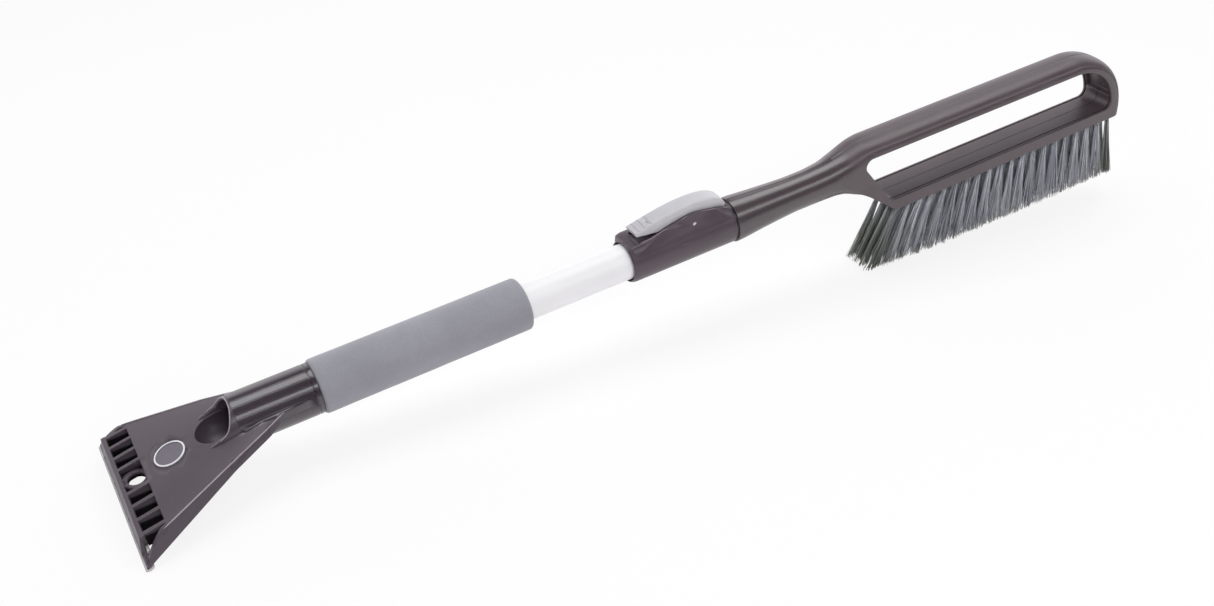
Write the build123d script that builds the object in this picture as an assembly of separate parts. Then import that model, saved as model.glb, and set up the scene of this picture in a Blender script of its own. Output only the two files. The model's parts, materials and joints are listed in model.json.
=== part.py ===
"""Snow broom: an ice scraper head on a round handle tube with a foam grip, held by a
rocker lock in the collar of a loop-handled brush.  Millimetres.

Everything is drawn in the tool frame: X runs along the handle tube from the scraper to
the brush, with x = 0 where the socket ends and the grip begins, Y across the scraper
blade, Z away from the bristles.  At the end one tilt and one shift stand the tool on its
blade and its lowest bristle tips."""

from build123d import *
from math import atan2, cos, degrees, exp, pi, radians, sin, sqrt
import os

# ---- driving dimensions: clearances ---------------------------------------------------
slide_fit = 0.1             # radial, tube in its mouth bush
slide_room = 0.35           # radial, tube in the long bores
press_gap = 0.05            # between parts that are pressed or stuck together
moving_gap = 0.4            # beside the lever
soft_gap = 0.3              # round the foam and under the brake pad
end_gap = 0.3               # tube plug to the bottom of the neck bore
past = 5.0                  # how far a cutting shape reaches past what it cuts

# ---- driving dimensions: handle tube and grip -----------------------------------------
tube_od = 22.0
tube_wall = 1.0
tube_in_socket = 34.0
grip_length = 125.4
foam_thickness = 4.35
foam_edge_r = 1.2
bare_tube = 67.7            # white tube seen between the grip and the collar
plug_length = 9.0
plug_flange = 1.5

# ---- driving dimensions: scraper head -------------------------------------------------
head_length = 111.5         # from the grip to the foot of the front wall
head_wall = 2.2
socket_wall = 3.45
socket_length = 45.0
socket_lip = 3.2            # length of the lip next to the grip
groove_depth = 0.5
groove_width = 0.8
fan_end = 21.0              # from the grip to where the fan runs out on the socket
flank_back = 32.0           # the two bends of the fan's flanks, from the grip
bend_back = 55.0
front_half = 50.7           # the plate's half width at the front wall and at the bends
bend_half = 28.8
flank_half = 18.8
plate_rise = 0.209          # slope of the top plate
plate_front_z = -10.8       # crown of the plate over the blade
front_drop = 2.1            # how much lower the plate's side edges lie than its crown
bend_drop = 2.5
flank_drop = 3.7
end_drop = 4.1
skirt_front_z = -24.0
skirt_bend_z = -6.8
skirt_flank_z = -2.9
skirt_end_z = 1.0
skirt_flare = 0.22          # outward lean of the side skirts
rail_lean = 2.2             # how far the front wall leans back over its height
comb_length = 16.1          # from the foot of the front wall to the closed plate
rib_pitch = 10.2
rib_thickness = 2.3
rib_depth = 9.8
ribs_each_side = 4
nose_length = 14.5          # from the front wall's foot to where the skirt leaves the plate
nose_bend = (6.3, 8.4)      # a point of that curved edge, behind and above the wall's foot
hang_hole_d = 9.6
hang_ring_wall = 2.5
hang_ring_height = 3.4
hang_ring_drop = 2.7        # ring's top below the plate's crown
hang_ring_back = 4.9        # ring's axis in front of the closed plate
hang_web = 1.6              # web that joins the ring to the two middle ribs
scoop_step = 0.6            # scoop's radius below the tube's
scoop_length = 21.5         # in front of the socket's face
scoop_wall = 2.0
brow_top_z = 12.4           # where the scoop's curved brow meets the socket's face
brow_bend = (5.6, 3.6)      # a point of the brow: in front of the face, over the tube axis
badge_d = 17.2
badge_back = 30.6           # badge's centre behind the front wall's foot
badge_thickness = 0.8
badge_seat = 0.5
badge_rim = 1.2
badge_dish = 0.2
screw_back = 12.0           # head screw, from the grip
screw_d = 2.9
screw_head_d = 5.8
screw_head_h = 1.9
screw_sink = 0.2
screw_slot = 0.7
screw_slot_length = 4.4

# ---- driving dimensions: scraper blade ------------------------------------------------
blade_lip = 0.9             # how far the blade reaches in front of the head
blade_thickness = 1.55
blade_side_inset = 0.5      # blade's ends inside the feet of the skirts
blade_corner = 1.2
blade_heel = 2.8            # rounding of its rear corners
blade_upstand = 5.5
blade_stud_d = 2.8
blade_studs = (-38.0, -15.0, 15.0, 38.0)

# ---- driving dimensions: lock collar --------------------------------------------------
collar_wall = 1.1           # over the spigot
mouth_land = 7.3            # from the collar's mouth to the lever's window
mouth_round = 0.9           # how much the mouth's outer edge is drawn in
mouth_round_length = 3.5
mouth_bore_r = 12.2
bush_length = 3.4
bush_wall = 0.7
bush_back = 3.5             # bush behind the collar's mouth
rear_land = 2.2             # from the window to the joint ring
window_floor = 1.3          # floor of the window below the collar's outer surface
well_front = 2.5            # open well round the lever's barrel, in front of it
cheek_wall = 1.6
cheek_spread = 3.0          # how much wider the cheeks stand at their foot
# top line of the cheeks, as heights over the collar's surface: from the mouth, over the
# lever in shares of its two arms, and from the joint ring
hump_front = ((1.0, -1.0), (3.5, 0.3), (7.4, 0.5))
hump_over = ((-0.764, 1.3), (-0.503, 3.7), (-0.147, 6.4), (0.0, 6.9), (0.271, 6.1),
             (0.663, 4.3))
hump_rear = ((3.7, 1.7), (1.4, -0.3))

# ---- driving dimensions: lock lever, its pin, spring and brake pad --------------------
finger_reach = 38.2         # from the pin to the finger end
tail_reach = 24.0
finger_overhang = 1.0       # finger end over the collar, in front of the window
tail_gap = 1.5
pin_d = 2.5
pin_sink = 0.15             # pin's ends inside the cheeks' faces
barrel_wall = 1.25
barrel_gap = 0.5            # between the lever's barrel and the tube
lever_half = 6.0
# lever outlines: share of the arm, height above the tube's surface
lever_top = ((-1.0, 9.2), (-0.785, 10.9), (-0.393, 13.7), (0.0, 14.9), (0.417, 14.3),
             (0.75, 12.3), (0.942, 9.6))
lever_under = ((1.0, 6.6), (0.967, 3.9), (0.25, 3.6), (0.0, 3.6), (-0.157, 4.0),
               (-0.654, 5.3), (-0.812, 6.1), (-0.995, 7.3))
lever_edge_r = 1.7
lever_skin = 2.0
lever_web = 2.4             # walls beside the lever's channel
channel_start = 5.2         # from the finger end
foot_sink = 1.0
ridge_count = 3
ridge_first = 2.8           # from the finger end
ridge_pitch = 4.3
ridge_width = 0.9
ridge_depth = 0.35
ridge_turn = 20.0
pad_from_pin = 8.0
pad_length = 10.0
pad_thickness = 2.0
pad_inset = 1.4             # inside the lever's sides
pad_rim = 0.6
pad_end_inset = 0.4
pad_room = 1.1              # between the pad and the brush frame's spigot
spring_share = 0.63         # spring's place along the finger arm
spring_mean_d = 4.4
spring_wire = 0.7
spring_turns = 4.5

# ---- driving dimensions: brush frame --------------------------------------------------
spigot_wall = 1.15
ring_width = 1.5
ring_recess = 0.45
# neck: distance from the joint ring, radius over the collar's
neck_line = ((0.0, 0.35), (4.4, 0.35), (18.3, -0.7), (32.2, -1.55), (46.4, -2.25),
             (60.8, -2.2))
seat_depth = 22.8           # tube's seat, from the joint ring
collar_pin_d = 2.4
collar_pin_turn = 40.0
collar_pin_sink = 0.1
loop_start = 104.9          # lengths from the joint ring
web_corner = 123.2
loop_end = 327.9
gap_top_start = 92.6
gap_low_start = 119.0
block_rim = 1.0             # beside the bristle rows
loop_crown = 3.7
bar_top_z = 19.6
bar_under_z = 11.2
block_top_z = -26.4
block_height = 9.1
web_run = 23.0              # slanted underside between the neck and the block
web_height = 19.5
loop_end_r = 50.0
end_post = 12.5
gap_end_r = 38.0
gap_low_corner_r = 5.0
gap_top_start_r = 5.0
gap_low_start_r = 6.0
seam_depth = 0.7            # grooves beside the loop's flat rims
seam_width = 0.8
face_width = 1.6
# the flaring neck between its waist and the loop: share of its length, half width, upper
# edge, crown, lower edge, keel, and bulge of its sides
flare_line = (
    (0.30, 9.8, 9.4, 12.5, -8.6, -11.6, 2.2),
    (0.58, 12.0, 12.0, 15.4, -9.6, -11.4, 1.0),
)
flare_last = 0.82           # share where its sides are already flat
flare_last_inset = 0.2
flare_last_drop = 0.9

# ---- driving dimensions: bristles -----------------------------------------------------
rows = 4
strip_width = 6.0
strip_depth = 2.2
strip_front = 1.2           # from the block's front corner
strip_back = 6.0            # from the loop's end
tuft_margin = 3.5           # first tuft from the strip's end
tuft_pitch = 10.0
strand_places = ((0.0, 0.0), (-1.0, -1.0), (1.0, -1.0), (-1.0, 1.0), (1.0, 1.0))
strand_side = 1.1
strand_sink = 0.7
tuft_root = 0.95
tuft_spread = 2.8           # how far the tips spread along the row
tip_gap = 0.33              # between the tips of neighbouring rows
bristle_first = 47.2        # strand length at the first tuft
bristle_last = 50.7
bristle_uneven = 0.9
first_lean = 24.5           # degrees towards the handle at the first tuft
lean_reach = 58.0           # length over which that lean dies away
last_lean = 11.0            # degrees away from the handle at the last tuft

# ---- values that follow ---------------------------------------------------------------
tube_r = tube_od / 2
socket_r = tube_r + press_gap + socket_wall
fan_front_x = -head_length
socket_front_x = -socket_length
tube_front_x = -tube_in_socket
hang_ring_x = fan_front_x + comb_length - hang_ring_back
hang_top_z = plate_front_z + plate_rise * (hang_ring_x - fan_front_x) - hang_ring_drop
grip_start_x = soft_gap
grip_end_x = grip_start_x + grip_length
collar_x = grip_end_x + bare_tube
window_x0 = collar_x + mouth_land
pin_x = window_x0 + finger_reach - finger_overhang
window_x1 = pin_x + tail_reach + tail_gap
collar_end_x = window_x1 + rear_land
neck_x = collar_end_x + ring_width
barrel_r = pin_d / 2 + barrel_wall
pin_z = tube_r + barrel_gap + barrel_r
spring_from_pin = -spring_share * finger_reach
pad_start_x = pin_x + pad_from_pin
pad_end_x = pad_start_x + pad_length
spigot_x = pad_end_x + pad_room
spigot_bore_r = tube_r + slide_room
spigot_r = spigot_bore_r + spigot_wall
collar_r = spigot_r + press_gap + collar_wall
tube_end_x = neck_x + seat_depth - end_gap - plug_flange


def rod(radius, start, end, y=0.0, z=0.0):
    """A round bar along X."""
    bar = Cylinder(radius, end - start, align=(Align.CENTER, Align.CENTER, Align.MIN))
    return Pos(start, y, z) * Rot(0, 90, 0) * bar


def cross_pin(radius, half_length, x, z):
    """A round bar along Y, centred on the tool's middle plane."""
    return Pos(x, 0, z) * Rot(90, 0, 0) * Cylinder(radius, 2 * half_length)


def post(radius, start, end, x):
    """A round bar along Z."""
    bar = Cylinder(radius, end - start, align=(Align.CENTER, Align.CENTER, Align.MIN))
    return Pos(x, 0, start) * bar


def brick(x0, x1, y0, y1, z0, z1):
    """A box between two corners."""
    box = Box(x1 - x0, y1 - y0, z1 - z0, align=(Align.MIN, Align.MIN, Align.MIN))
    return Pos(x0, y0, z0) * box


def across(outline, y0, y1):
    """A face drawn in the XZ plane, carried from y0 to y1."""
    return Pos(0, y1, 0) * extrude(Plane.XZ * outline, amount=y1 - y0)


def polygon(*points):
    """A closed face through points."""
    return make_face(Polyline(*points, close=True))


def turned(outline):
    """A face drawn in the XZ plane above the X axis, turned round that axis."""
    return revolve(Plane.XZ * outline, Axis.X)


def capsule(radius, start, end):
    """A round bar along X with a domed start."""
    dome = (start + radius * (1 - cos(pi / 4)), radius * sin(pi / 4))
    outline = ThreePointArc((start, 0), dome, (start + radius, radius))
    outline += Polyline((start + radius, radius), (end, radius), (end, 0), (start, 0))
    return turned(make_face(outline))


def line_at(a, b, x):
    """Height at x of the straight line through a and b."""
    return a[1] + (b[1] - a[1]) * (x - a[0]) / (b[0] - a[0])


def chain_at(points, x):
    """Height at x of a chain of straight lines."""
    for a, b in zip(points, points[1:]):
        if x <= b[0]:
            break
    return line_at(a, b, x)


def plate_z(x):
    """Crown of the scraper's top plate."""
    return plate_front_z + plate_rise * (x - fan_front_x)


# ---- scraper head ---------------------------------------------------------------------
# four stations: the front wall, two bends, and the end, whose sides meet the socket's
stations = (fan_front_x, -bend_back, -flank_back, -fan_end)
end_edge_z = plate_z(-fan_end) - end_drop
end_half = sqrt(socket_r ** 2 - end_edge_z ** 2) - skirt_flare * (end_edge_z - skirt_end_z)
end_half -= press_gap
half_line = list(zip(stations, (front_half, bend_half, flank_half, end_half)))
drop_line = list(zip(stations, (front_drop, bend_drop, flank_drop, end_drop)))
skirt_line = list(zip(stations, (skirt_front_z, skirt_bend_z, skirt_flank_z, skirt_end_z)))


def fan_half(x):
    """Half width of the plate."""
    return chain_at(half_line, x)


def edge_z(x):
    """Height of the plate's side edges."""
    return plate_z(x) - chain_at(drop_line, x)


def fan_section(x, inset, deeper):
    """Section of the fan across the tool: skirts, and a plate arched between them."""
    half = fan_half(x) - inset
    top = edge_z(x) - inset
    low = chain_at(skirt_line, x) - deeper
    foot = half + skirt_flare * (top - low)
    outline = Line((-foot, low), (-half, top))
    outline += ThreePointArc((-half, top), (0, plate_z(x) - inset), (half, top))
    outline += Polyline((half, top), (foot, low), (-foot, low))
    return Plane.YZ.offset(x) * make_face(outline)


def fan(inset=0.0, deeper=0.0, end_wall=0.0):
    """The fan as a solid between its stations."""
    places = (*stations[:-1], stations[-1] - end_wall)
    return loft([fan_section(x, inset, deeper) for x in places], ruled=True)


front_foot = front_half + skirt_flare * (edge_z(fan_front_x) - skirt_front_z)
wide = front_foot + past
wall_lean = rail_lean / (plate_front_z - skirt_front_z)
upstand_foot = fan_front_x + head_wall + 2 * press_gap
upstand_top = upstand_foot + wall_lean * blade_upstand
upstand_top_z = skirt_front_z + blade_upstand


def ahead_of_wall(inset):
    """All in front of the leaning front wall, carried across the tool."""
    top_x = fan_front_x + rail_lean + inset + wall_lean * past
    foot_x = fan_front_x + inset - wall_lean * past
    top_z = plate_front_z + past
    foot_z = skirt_front_z - past
    outline = polygon((top_x, top_z), (foot_x, foot_z), (foot_x - past, foot_z),
                      (foot_x - past, top_z))
    return across(outline, -wide, wide)


outer_fan = fan()
inner_fan = fan(head_wall, past, head_wall) - ahead_of_wall(head_wall)
head = outer_fan - inner_fan
head -= ahead_of_wall(0.0)

# the comb: an opening across the plate with ribs and a stiffening bar left in it
comb_x0 = fan_front_x + rail_lean + head_wall
comb_x1 = fan_front_x + comb_length
comb_plan = polygon(
    (comb_x0, head_wall - fan_half(comb_x0)),
    (comb_x1, head_wall - fan_half(comb_x1)),
    (comb_x1, fan_half(comb_x1) - head_wall),
    (comb_x0, fan_half(comb_x0) - head_wall),
)
comb_low_z = edge_z(comb_x0) - past
head -= Pos(0, 0, comb_low_z) * extrude(comb_plan, amount=plate_z(comb_x1) + past - comb_low_z)
rib_x1 = comb_x1 + head_wall
rib_band = across(
    polygon(
        (fan_front_x, plate_z(fan_front_x) - rib_depth),
        (rib_x1, plate_z(rib_x1) - rib_depth),
        (rib_x1, plate_z(rib_x1) + past),
        (fan_front_x, plate_z(rib_x1) + past),
    ),
    -wide,
    wide,
)
rib_band &= outer_fan
rib_band -= ahead_of_wall(head_wall / 4)
upstand_rear = upstand_top + blade_thickness + 2 * press_gap
rib_band -= brick(fan_front_x - past, upstand_rear, -wide, wide, skirt_front_z - past,
                  upstand_top_z + 2 * press_gap)
rib_ys = [side * rib_pitch * (k + 1) for side in (-1, 1) for k in range(ribs_each_side)]
bars = [
    brick(fan_front_x, rib_x1, y - rib_thickness / 2, y + rib_thickness / 2, skirt_front_z, past)
    for y in rib_ys
]
bar_half = fan_half(comb_x1) - head_wall / 2
bars.append(brick(comb_x1, rib_x1, -bar_half, bar_half, skirt_front_z, past))
for bar in bars:
    head += bar & rib_band

# the skirts' front edges sweep down from the plate to the blade's ends
nose_x = fan_front_x + nose_length
nose_top = (nose_x, edge_z(nose_x) + groove_width)
nose_foot = (fan_front_x + 2 * press_gap, skirt_front_z)
nose_middle = (fan_front_x + nose_bend[0], skirt_front_z + nose_bend[1])
nose = ThreePointArc(nose_top, nose_middle, nose_foot)
nose += Polyline(nose_foot, (fan_front_x - past, skirt_front_z), (fan_front_x - past, past),
                 (nose_x, past), nose_top)
nose_y = rib_pitch * ribs_each_side + rib_thickness / 2 + groove_width
for y0, y1 in ((nose_y, wide), (-wide, -nose_y)):
    head -= across(make_face(nose), y0, y1)

# hanging ring and its web between the two middle ribs
hang_low_z = hang_top_z - hang_ring_height
hang_hole_r = hang_hole_d / 2
head += post(hang_hole_r + hang_ring_wall, hang_low_z, hang_top_z, hang_ring_x)
head += brick(comb_x0 - head_wall / 2, comb_x1 + head_wall / 2, -rib_pitch, rib_pitch,
              hang_low_z, hang_low_z + hang_web)
head -= post(hang_hole_r, hang_low_z - 2 * past, hang_top_z + past, hang_ring_x)

# socket for the tube, with a scoop in front of its face under a curved brow
scoop_r = tube_r - scoop_step
scoop_x = socket_front_x - scoop_length
root_x = socket_front_x + head_wall / 2
head += capsule(scoop_r + scoop_wall, scoop_x - scoop_wall, root_x) & fan(head_wall / 2, wide)
brow_foot = (scoop_x, plate_z(scoop_x) - head_wall / 2)
brow_middle = (socket_front_x - brow_bend[0], brow_bend[1])
brow = ThreePointArc((socket_front_x, brow_top_z), brow_middle, brow_foot)
brow += Polyline(brow_foot, (root_x, brow_foot[1]), (root_x, brow_top_z),
                 (socket_front_x, brow_top_z))
head += rod(socket_r, socket_front_x, 0.0)
head += across(make_face(brow), -wide, wide) & rod(socket_r - press_gap, scoop_x, root_x)
head -= capsule(scoop_r, scoop_x, tube_front_x + past)
head -= rod(tube_r + press_gap, tube_front_x, past)
lip_groove = rod(socket_r + past, -socket_lip, groove_width - socket_lip)
head -= lip_groove - rod(socket_r - groove_depth, -socket_lip - past, 0.0)

# plain round badge, set into the crown of the plate
badge_x = fan_front_x + badge_back
badge_place = Pos(badge_x, 0, plate_z(badge_x)) * Rot(0, -degrees(atan2(plate_rise, 1.0)), 0)
standing = (Align.CENTER, Align.CENTER, Align.MIN)
badge_disc = Cylinder(badge_d / 2, badge_thickness, align=standing)
dish = Cylinder(badge_d / 2 - badge_rim, past, align=standing)
badge_disc -= Pos(0, 0, badge_thickness - badge_dish) * dish
badge_disc = badge_place * Pos(0, 0, press_gap - badge_seat) * badge_disc
seat = Cylinder(badge_d / 2 + press_gap, past, align=standing)
head -= badge_place * Pos(0, 0, -badge_seat) * seat

# ---- scraper blade: a lip under the front wall, and an upstand behind it ----------------
lip_top = skirt_front_z - press_gap
lip_low = lip_top - blade_thickness
lip_front = fan_front_x - blade_lip
blade_half = front_foot - blade_side_inset
lip_rear = upstand_foot + blade_thickness
lip = brick(lip_front, lip_rear, -blade_half, blade_half, lip_low, lip_top)
lip = fillet(lip.edges().filter_by(Axis.Z).group_by(Axis.X)[0], blade_corner)
lip = fillet(lip.edges().filter_by(Axis.Z).group_by(Axis.X)[-1], blade_heel)
upstand_half = front_half - 2 * head_wall
upstand_low = lip_top - blade_thickness / 2
upstand = across(
    polygon(
        (upstand_foot, upstand_low),
        (upstand_foot, skirt_front_z),
        (upstand_top, upstand_top_z),
        (upstand_top + blade_thickness, upstand_top_z),
        (lip_rear, skirt_front_z),
        (lip_rear, upstand_low),
    ),
    -upstand_half,
    upstand_half,
)
blade = lip + upstand
stud_z = skirt_front_z + blade_upstand / 2
stud_face = fan_front_x + wall_lean * blade_upstand / 2
stud_end = stud_face + head_wall + blade_thickness / 2
for y in blade_studs:
    blade += rod(blade_stud_d / 2, stud_face + 2 * press_gap, stud_end, y, stud_z)
    head -= rod(blade_stud_d / 2 + press_gap, stud_face - past, stud_end + press_gap, y, stud_z)

# ---- handle tube, its plugs, the head screw and the grip ------------------------------
bore_r = tube_r - tube_wall
tube = rod(tube_r, tube_front_x, tube_end_x) - rod(bore_r, tube_front_x, tube_end_x)
plug_r = bore_r - press_gap
front_plug = rod(plug_r, tube_front_x, tube_front_x + plug_length)
front_plug += rod(scoop_r - press_gap, tube_front_x - plug_flange, tube_front_x)
end_plug = rod(plug_r, tube_end_x - plug_length, tube_end_x)
end_plug += rod(tube_r - press_gap, tube_end_x, tube_end_x + plug_flange)

screw_x = -screw_back
screw_face = -socket_r
screw_tip = -bore_r + blade_thickness
screw_top = screw_face + screw_head_h
screw = post(screw_d / 2, screw_top - screw_sink, screw_tip, screw_x)
screw += post(screw_head_d / 2, screw_face + screw_sink, screw_top, screw_x)
slot_bar = Box(screw_slot_length, screw_slot, screw_head_h)
for turn in (0, 90):
    screw -= Pos(screw_x, 0, screw_face) * Rot(0, 0, turn) * slot_bar
screw_hole = post(screw_d / 2 + press_gap, screw_face - past, press_gap - bore_r, screw_x)
head -= screw_hole
head -= post(screw_head_d / 2 + press_gap, screw_face - past, screw_top, screw_x)
tube -= screw_hole

grip_r = tube_r + soft_gap + foam_thickness
grip = rod(grip_r, grip_start_x, grip_end_x)
grip = fillet(grip.edges().filter_by(GeomType.CIRCLE), foam_edge_r)
grip -= rod(tube_r + soft_gap, grip_start_x - past, grip_end_x + past)

# ---- lock collar ----------------------------------------------------------------------
mouth_r = collar_r - mouth_round
round_end_x = collar_x + mouth_round_length
collar_side = ThreePointArc(
    (collar_x, mouth_r),
    (collar_x + mouth_round_length / 2, collar_r - mouth_round / 4),
    (round_end_x, collar_r),
)
collar_side += Polyline((round_end_x, collar_r), (collar_end_x, collar_r), (collar_end_x, 0),
                        (collar_x, 0), (collar_x, mouth_r))
collar = turned(make_face(collar_side))
window_half = lever_half + moving_gap
cheek_outer = window_half + cheek_wall
cheek_root = cheek_outer + cheek_spread
root_z = sqrt(collar_r ** 2 - cheek_root ** 2)
hump_crest = collar_r + max(z for x, z in hump_over) + moving_gap
hump_width = Plane.YZ.offset(collar_x) * polygon(
    (-cheek_root, root_z), (-cheek_outer, hump_crest), (cheek_outer, hump_crest),
    (cheek_root, root_z),
)
hump = extrude(hump_width, amount=collar_end_x - collar_x)


def arm_x(share):
    """Place along the lever: shares of the finger arm before the pin, of the tail after."""
    return pin_x + share * (finger_reach if share < 0 else tail_reach)


hump_points = [(collar_x + x, collar_r + z) for x, z in hump_front]
hump_points += [(arm_x(share), collar_r + z) for share, z in hump_over]
hump_points += [(collar_end_x - x, collar_r + z) for x, z in hump_rear]
hump_side = Spline(*hump_points) + Polyline(
    hump_points[-1], (hump_points[-1][0], root_z), (hump_points[0][0], root_z), hump_points[0]
)
collar += hump & across(make_face(hump_side), -cheek_root, cheek_root)
bush_x = collar_x + bush_back
bush_end_x = bush_x + bush_length
bush_r = tube_r + slide_fit + bush_wall
collar -= rod(spigot_bore_r, collar_x - past, collar_end_x + past)
collar -= rod(bush_r + press_gap, bush_x, bush_end_x)
funnel_widening = (mouth_bore_r - bush_r - press_gap) / bush_back
funnel_x = collar_x - past
collar -= turned(polygon((funnel_x, 0), (funnel_x, mouth_bore_r + funnel_widening * past),
                         (bush_x, bush_r + press_gap), (bush_x, 0)))
collar -= rod(spigot_r + press_gap, spigot_x, collar_end_x + past)
floor_z = collar_r - window_floor
well_x = pin_x - barrel_r - well_front
collar -= brick(window_x0, window_x1, -window_half, window_half, floor_z, hump_crest + past)
collar -= brick(well_x, window_x1, -window_half, window_half, 0.0, hump_crest)
collar -= cross_pin(pin_d / 2 + press_gap, cheek_root + past, pin_x, pin_z)

bush = rod(bush_r, bush_x, bush_end_x - press_gap)
bush -= rod(tube_r + slide_fit, bush_x - past, bush_end_x + past)

# ---- lock lever, its pin, spring and brake pad ----------------------------------------
top_points = [(arm_x(share), tube_r + height) for share, height in lever_top]
under_points = [(arm_x(share), tube_r + height) for share, height in lever_under]
lever_side = Spline(*top_points) + Polyline(top_points[-1], *under_points, top_points[0])
lever = across(make_face(lever_side), -lever_half, lever_half)
lever_crest = tube_r + max(height for share, height in lever_top)
crown_edges = [
    edge for edge in lever.edges()
    if abs(abs(edge.center().Y) - lever_half) < press_gap
    and edge.center().Z > lever_crest - 2 * lever_edge_r
]
lever = fillet(crown_edges, lever_edge_r)
finger_x = pin_x - finger_reach
channel_x0 = finger_x + channel_start
channel_x1 = pin_x - 2 * barrel_r - lever_skin
channel_low = pin_z - 2 * lever_skin
channel_roof = [
    (channel_x0, line_at(top_points[0], top_points[1], channel_x0) - lever_skin),
    (channel_x1, line_at(top_points[2], top_points[3], channel_x1) - 1.3 * lever_skin),
]
channel = polygon(*channel_roof, (channel_x1, channel_low), (channel_x0, channel_low))
lever -= across(channel, lever_web - lever_half, lever_half - lever_web)
for k in range(ridge_count):
    ridge_x = finger_x + ridge_first + ridge_pitch * k
    ridge_z = line_at(top_points[0], top_points[1], ridge_x)
    notch = Box(ridge_width, 2 * lever_half + past, 2 * (ridge_depth + moving_gap))
    lever -= Pos(ridge_x, 0, ridge_z + moving_gap) * Rot(0, ridge_turn, 0) * notch
lever += cross_pin(barrel_r, lever_half, pin_x, pin_z)
pad_top_z = tube_r + pad_thickness
pad_half = lever_half - pad_inset
foot_top = under_points[1][1] + foot_sink
lever += brick(pad_start_x, pad_end_x, -pad_half - pad_rim, pad_half + pad_rim, pad_top_z, foot_top)
lever -= cross_pin(pin_d / 2 + slide_fit, lever_half + past, pin_x, pin_z)

pad = brick(pad_start_x + pad_end_inset, pad_end_x - pad_end_inset, -pad_half, pad_half, 0.0,
            pad_top_z)
pad -= rod(tube_r + soft_gap, pad_start_x, pad_end_x)
pad = pad.solids().sort_by(Axis.Z)[-1]

cheek_at_pin = line_at((root_z, cheek_root), (hump_crest, cheek_outer), pin_z)
lever_pin = cross_pin(pin_d / 2, cheek_at_pin - pin_sink, pin_x, pin_z)

spring_x = pin_x + spring_from_pin
spring_low = floor_z + spring_wire / 2 + press_gap
spring_roof = line_at(*channel_roof, spring_x - spring_mean_d / 2 - spring_wire)
spring_high = spring_roof - spring_wire / 2 - 2 * press_gap
coil = Helix((spring_high - spring_low) / spring_turns, spring_high - spring_low,
             spring_mean_d / 2)
coil_plane = Plane(origin=coil @ 0, z_dir=coil % 0)
spring = sweep(coil_plane * Circle(spring_wire / 2), path=coil, is_frenet=True)
spring = Pos(spring_x, 0, spring_low) * spring
samples = 400
coil_points = [coil @ (k / samples) for k in range(samples + 1)]
half_turn = samples / spring_turns / 2
apart = [
    (coil_points[i] - coil_points[j]).length
    for i in range(samples + 1)
    for j in range(i)
    if i - j > half_turn
]
print("least gap of the spring to itself:", round(min(apart) - spring_wire, 3), "mm")

# ---- joint ring and the pins that hold the collar on the brush frame's spigot ---------
joint_ring = rod(collar_r - ring_recess, collar_end_x, neck_x)
joint_ring -= rod(spigot_r + press_gap, collar_end_x - past, neck_x + past)
pin_place = (spigot_x + collar_end_x) / 2
pin_inner = spigot_bore_r + collar_pin_sink
pin_outer = collar_r - collar_pin_sink
pin_post = post(collar_pin_d / 2, -pin_outer, -pin_inner, pin_place)
pin_hole = post(collar_pin_d / 2 + press_gap, -pin_outer - past, past - pin_inner, pin_place)
collar_pins = [Rot(turn, 0, 0) * pin_post for turn in (-collar_pin_turn, collar_pin_turn)]
pin_holes = [Rot(turn, 0, 0) * pin_hole for turn in (-collar_pin_turn, collar_pin_turn)]
for hole in pin_holes:
    collar -= hole

# ---- brush frame ----------------------------------------------------------------------
loop_half = rows * (strip_width + 2 * press_gap) / 2 + block_rim
loop_start_x = neck_x + loop_start
web_x = neck_x + web_corner
loop_end_x = neck_x + loop_end
gap_top_x = neck_x + gap_top_start
gap_low_x = neck_x + gap_low_start
gap_end_x = loop_end_x - end_post - gap_end_r
block_under_z = block_top_z - block_height
bar_edge_z = bar_top_z - loop_crown

neck_points = [(neck_x + x, collar_r + rise) for x, rise in neck_line]
neck_side = Spline(*neck_points) + Polyline(
    neck_points[-1], (neck_points[-1][0], 0.0), (neck_x, 0.0), neck_points[0]
)
frame = turned(make_face(neck_side))
frame += rod(spigot_r, spigot_x + press_gap, neck_x + spigot_wall)


def web_z(x):
    """Slanted underside between the neck and the block."""
    return block_under_z + web_height / web_run * (web_x - x)


def flare_section(x, half, top_edge, top, low_edge, low=None, bulge=0.0):
    """Section of the flaring neck: crowned back, two sides, and an underside with or
    without a keel."""
    middle = (top_edge + low_edge) / 2
    outline = ThreePointArc((-half, top_edge), (0, top), (half, top_edge))
    if bulge:
        outline += ThreePointArc((half, top_edge), (half + bulge, middle), (half, low_edge))
    else:
        outline += Line((half, top_edge), (half, low_edge))
    if low is None:
        outline += Line((half, low_edge), (-half, low_edge))
    else:
        outline += ThreePointArc((half, low_edge), (0, low), (-half, low_edge))
    if bulge:
        outline += ThreePointArc((-half, low_edge), (-half - bulge, middle), (-half, top_edge))
    else:
        outline += Line((-half, low_edge), (-half, top_edge))
    return Plane.YZ.offset(x) * make_face(outline)


flare_x, flare_r = neck_points[-1]
corner = flare_r * sqrt(0.5)
flare_run = loop_start_x - flare_x
last_x = flare_x + flare_last * flare_run
flare_sections = [flare_section(flare_x, corner, corner, flare_r, -corner, -flare_r,
                                flare_r - corner)]
for share, *sizes in flare_line:
    flare_sections.append(flare_section(flare_x + share * flare_run, *sizes))
flare_sections.append(flare_section(last_x, loop_half - flare_last_inset,
                                    bar_edge_z - flare_last_drop, bar_top_z - flare_last_drop,
                                    web_z(last_x)))
flare_sections.append(flare_section(loop_start_x, loop_half, bar_edge_z, bar_top_z,
                                    web_z(loop_start_x)))
frame += loft(flare_sections)

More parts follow.
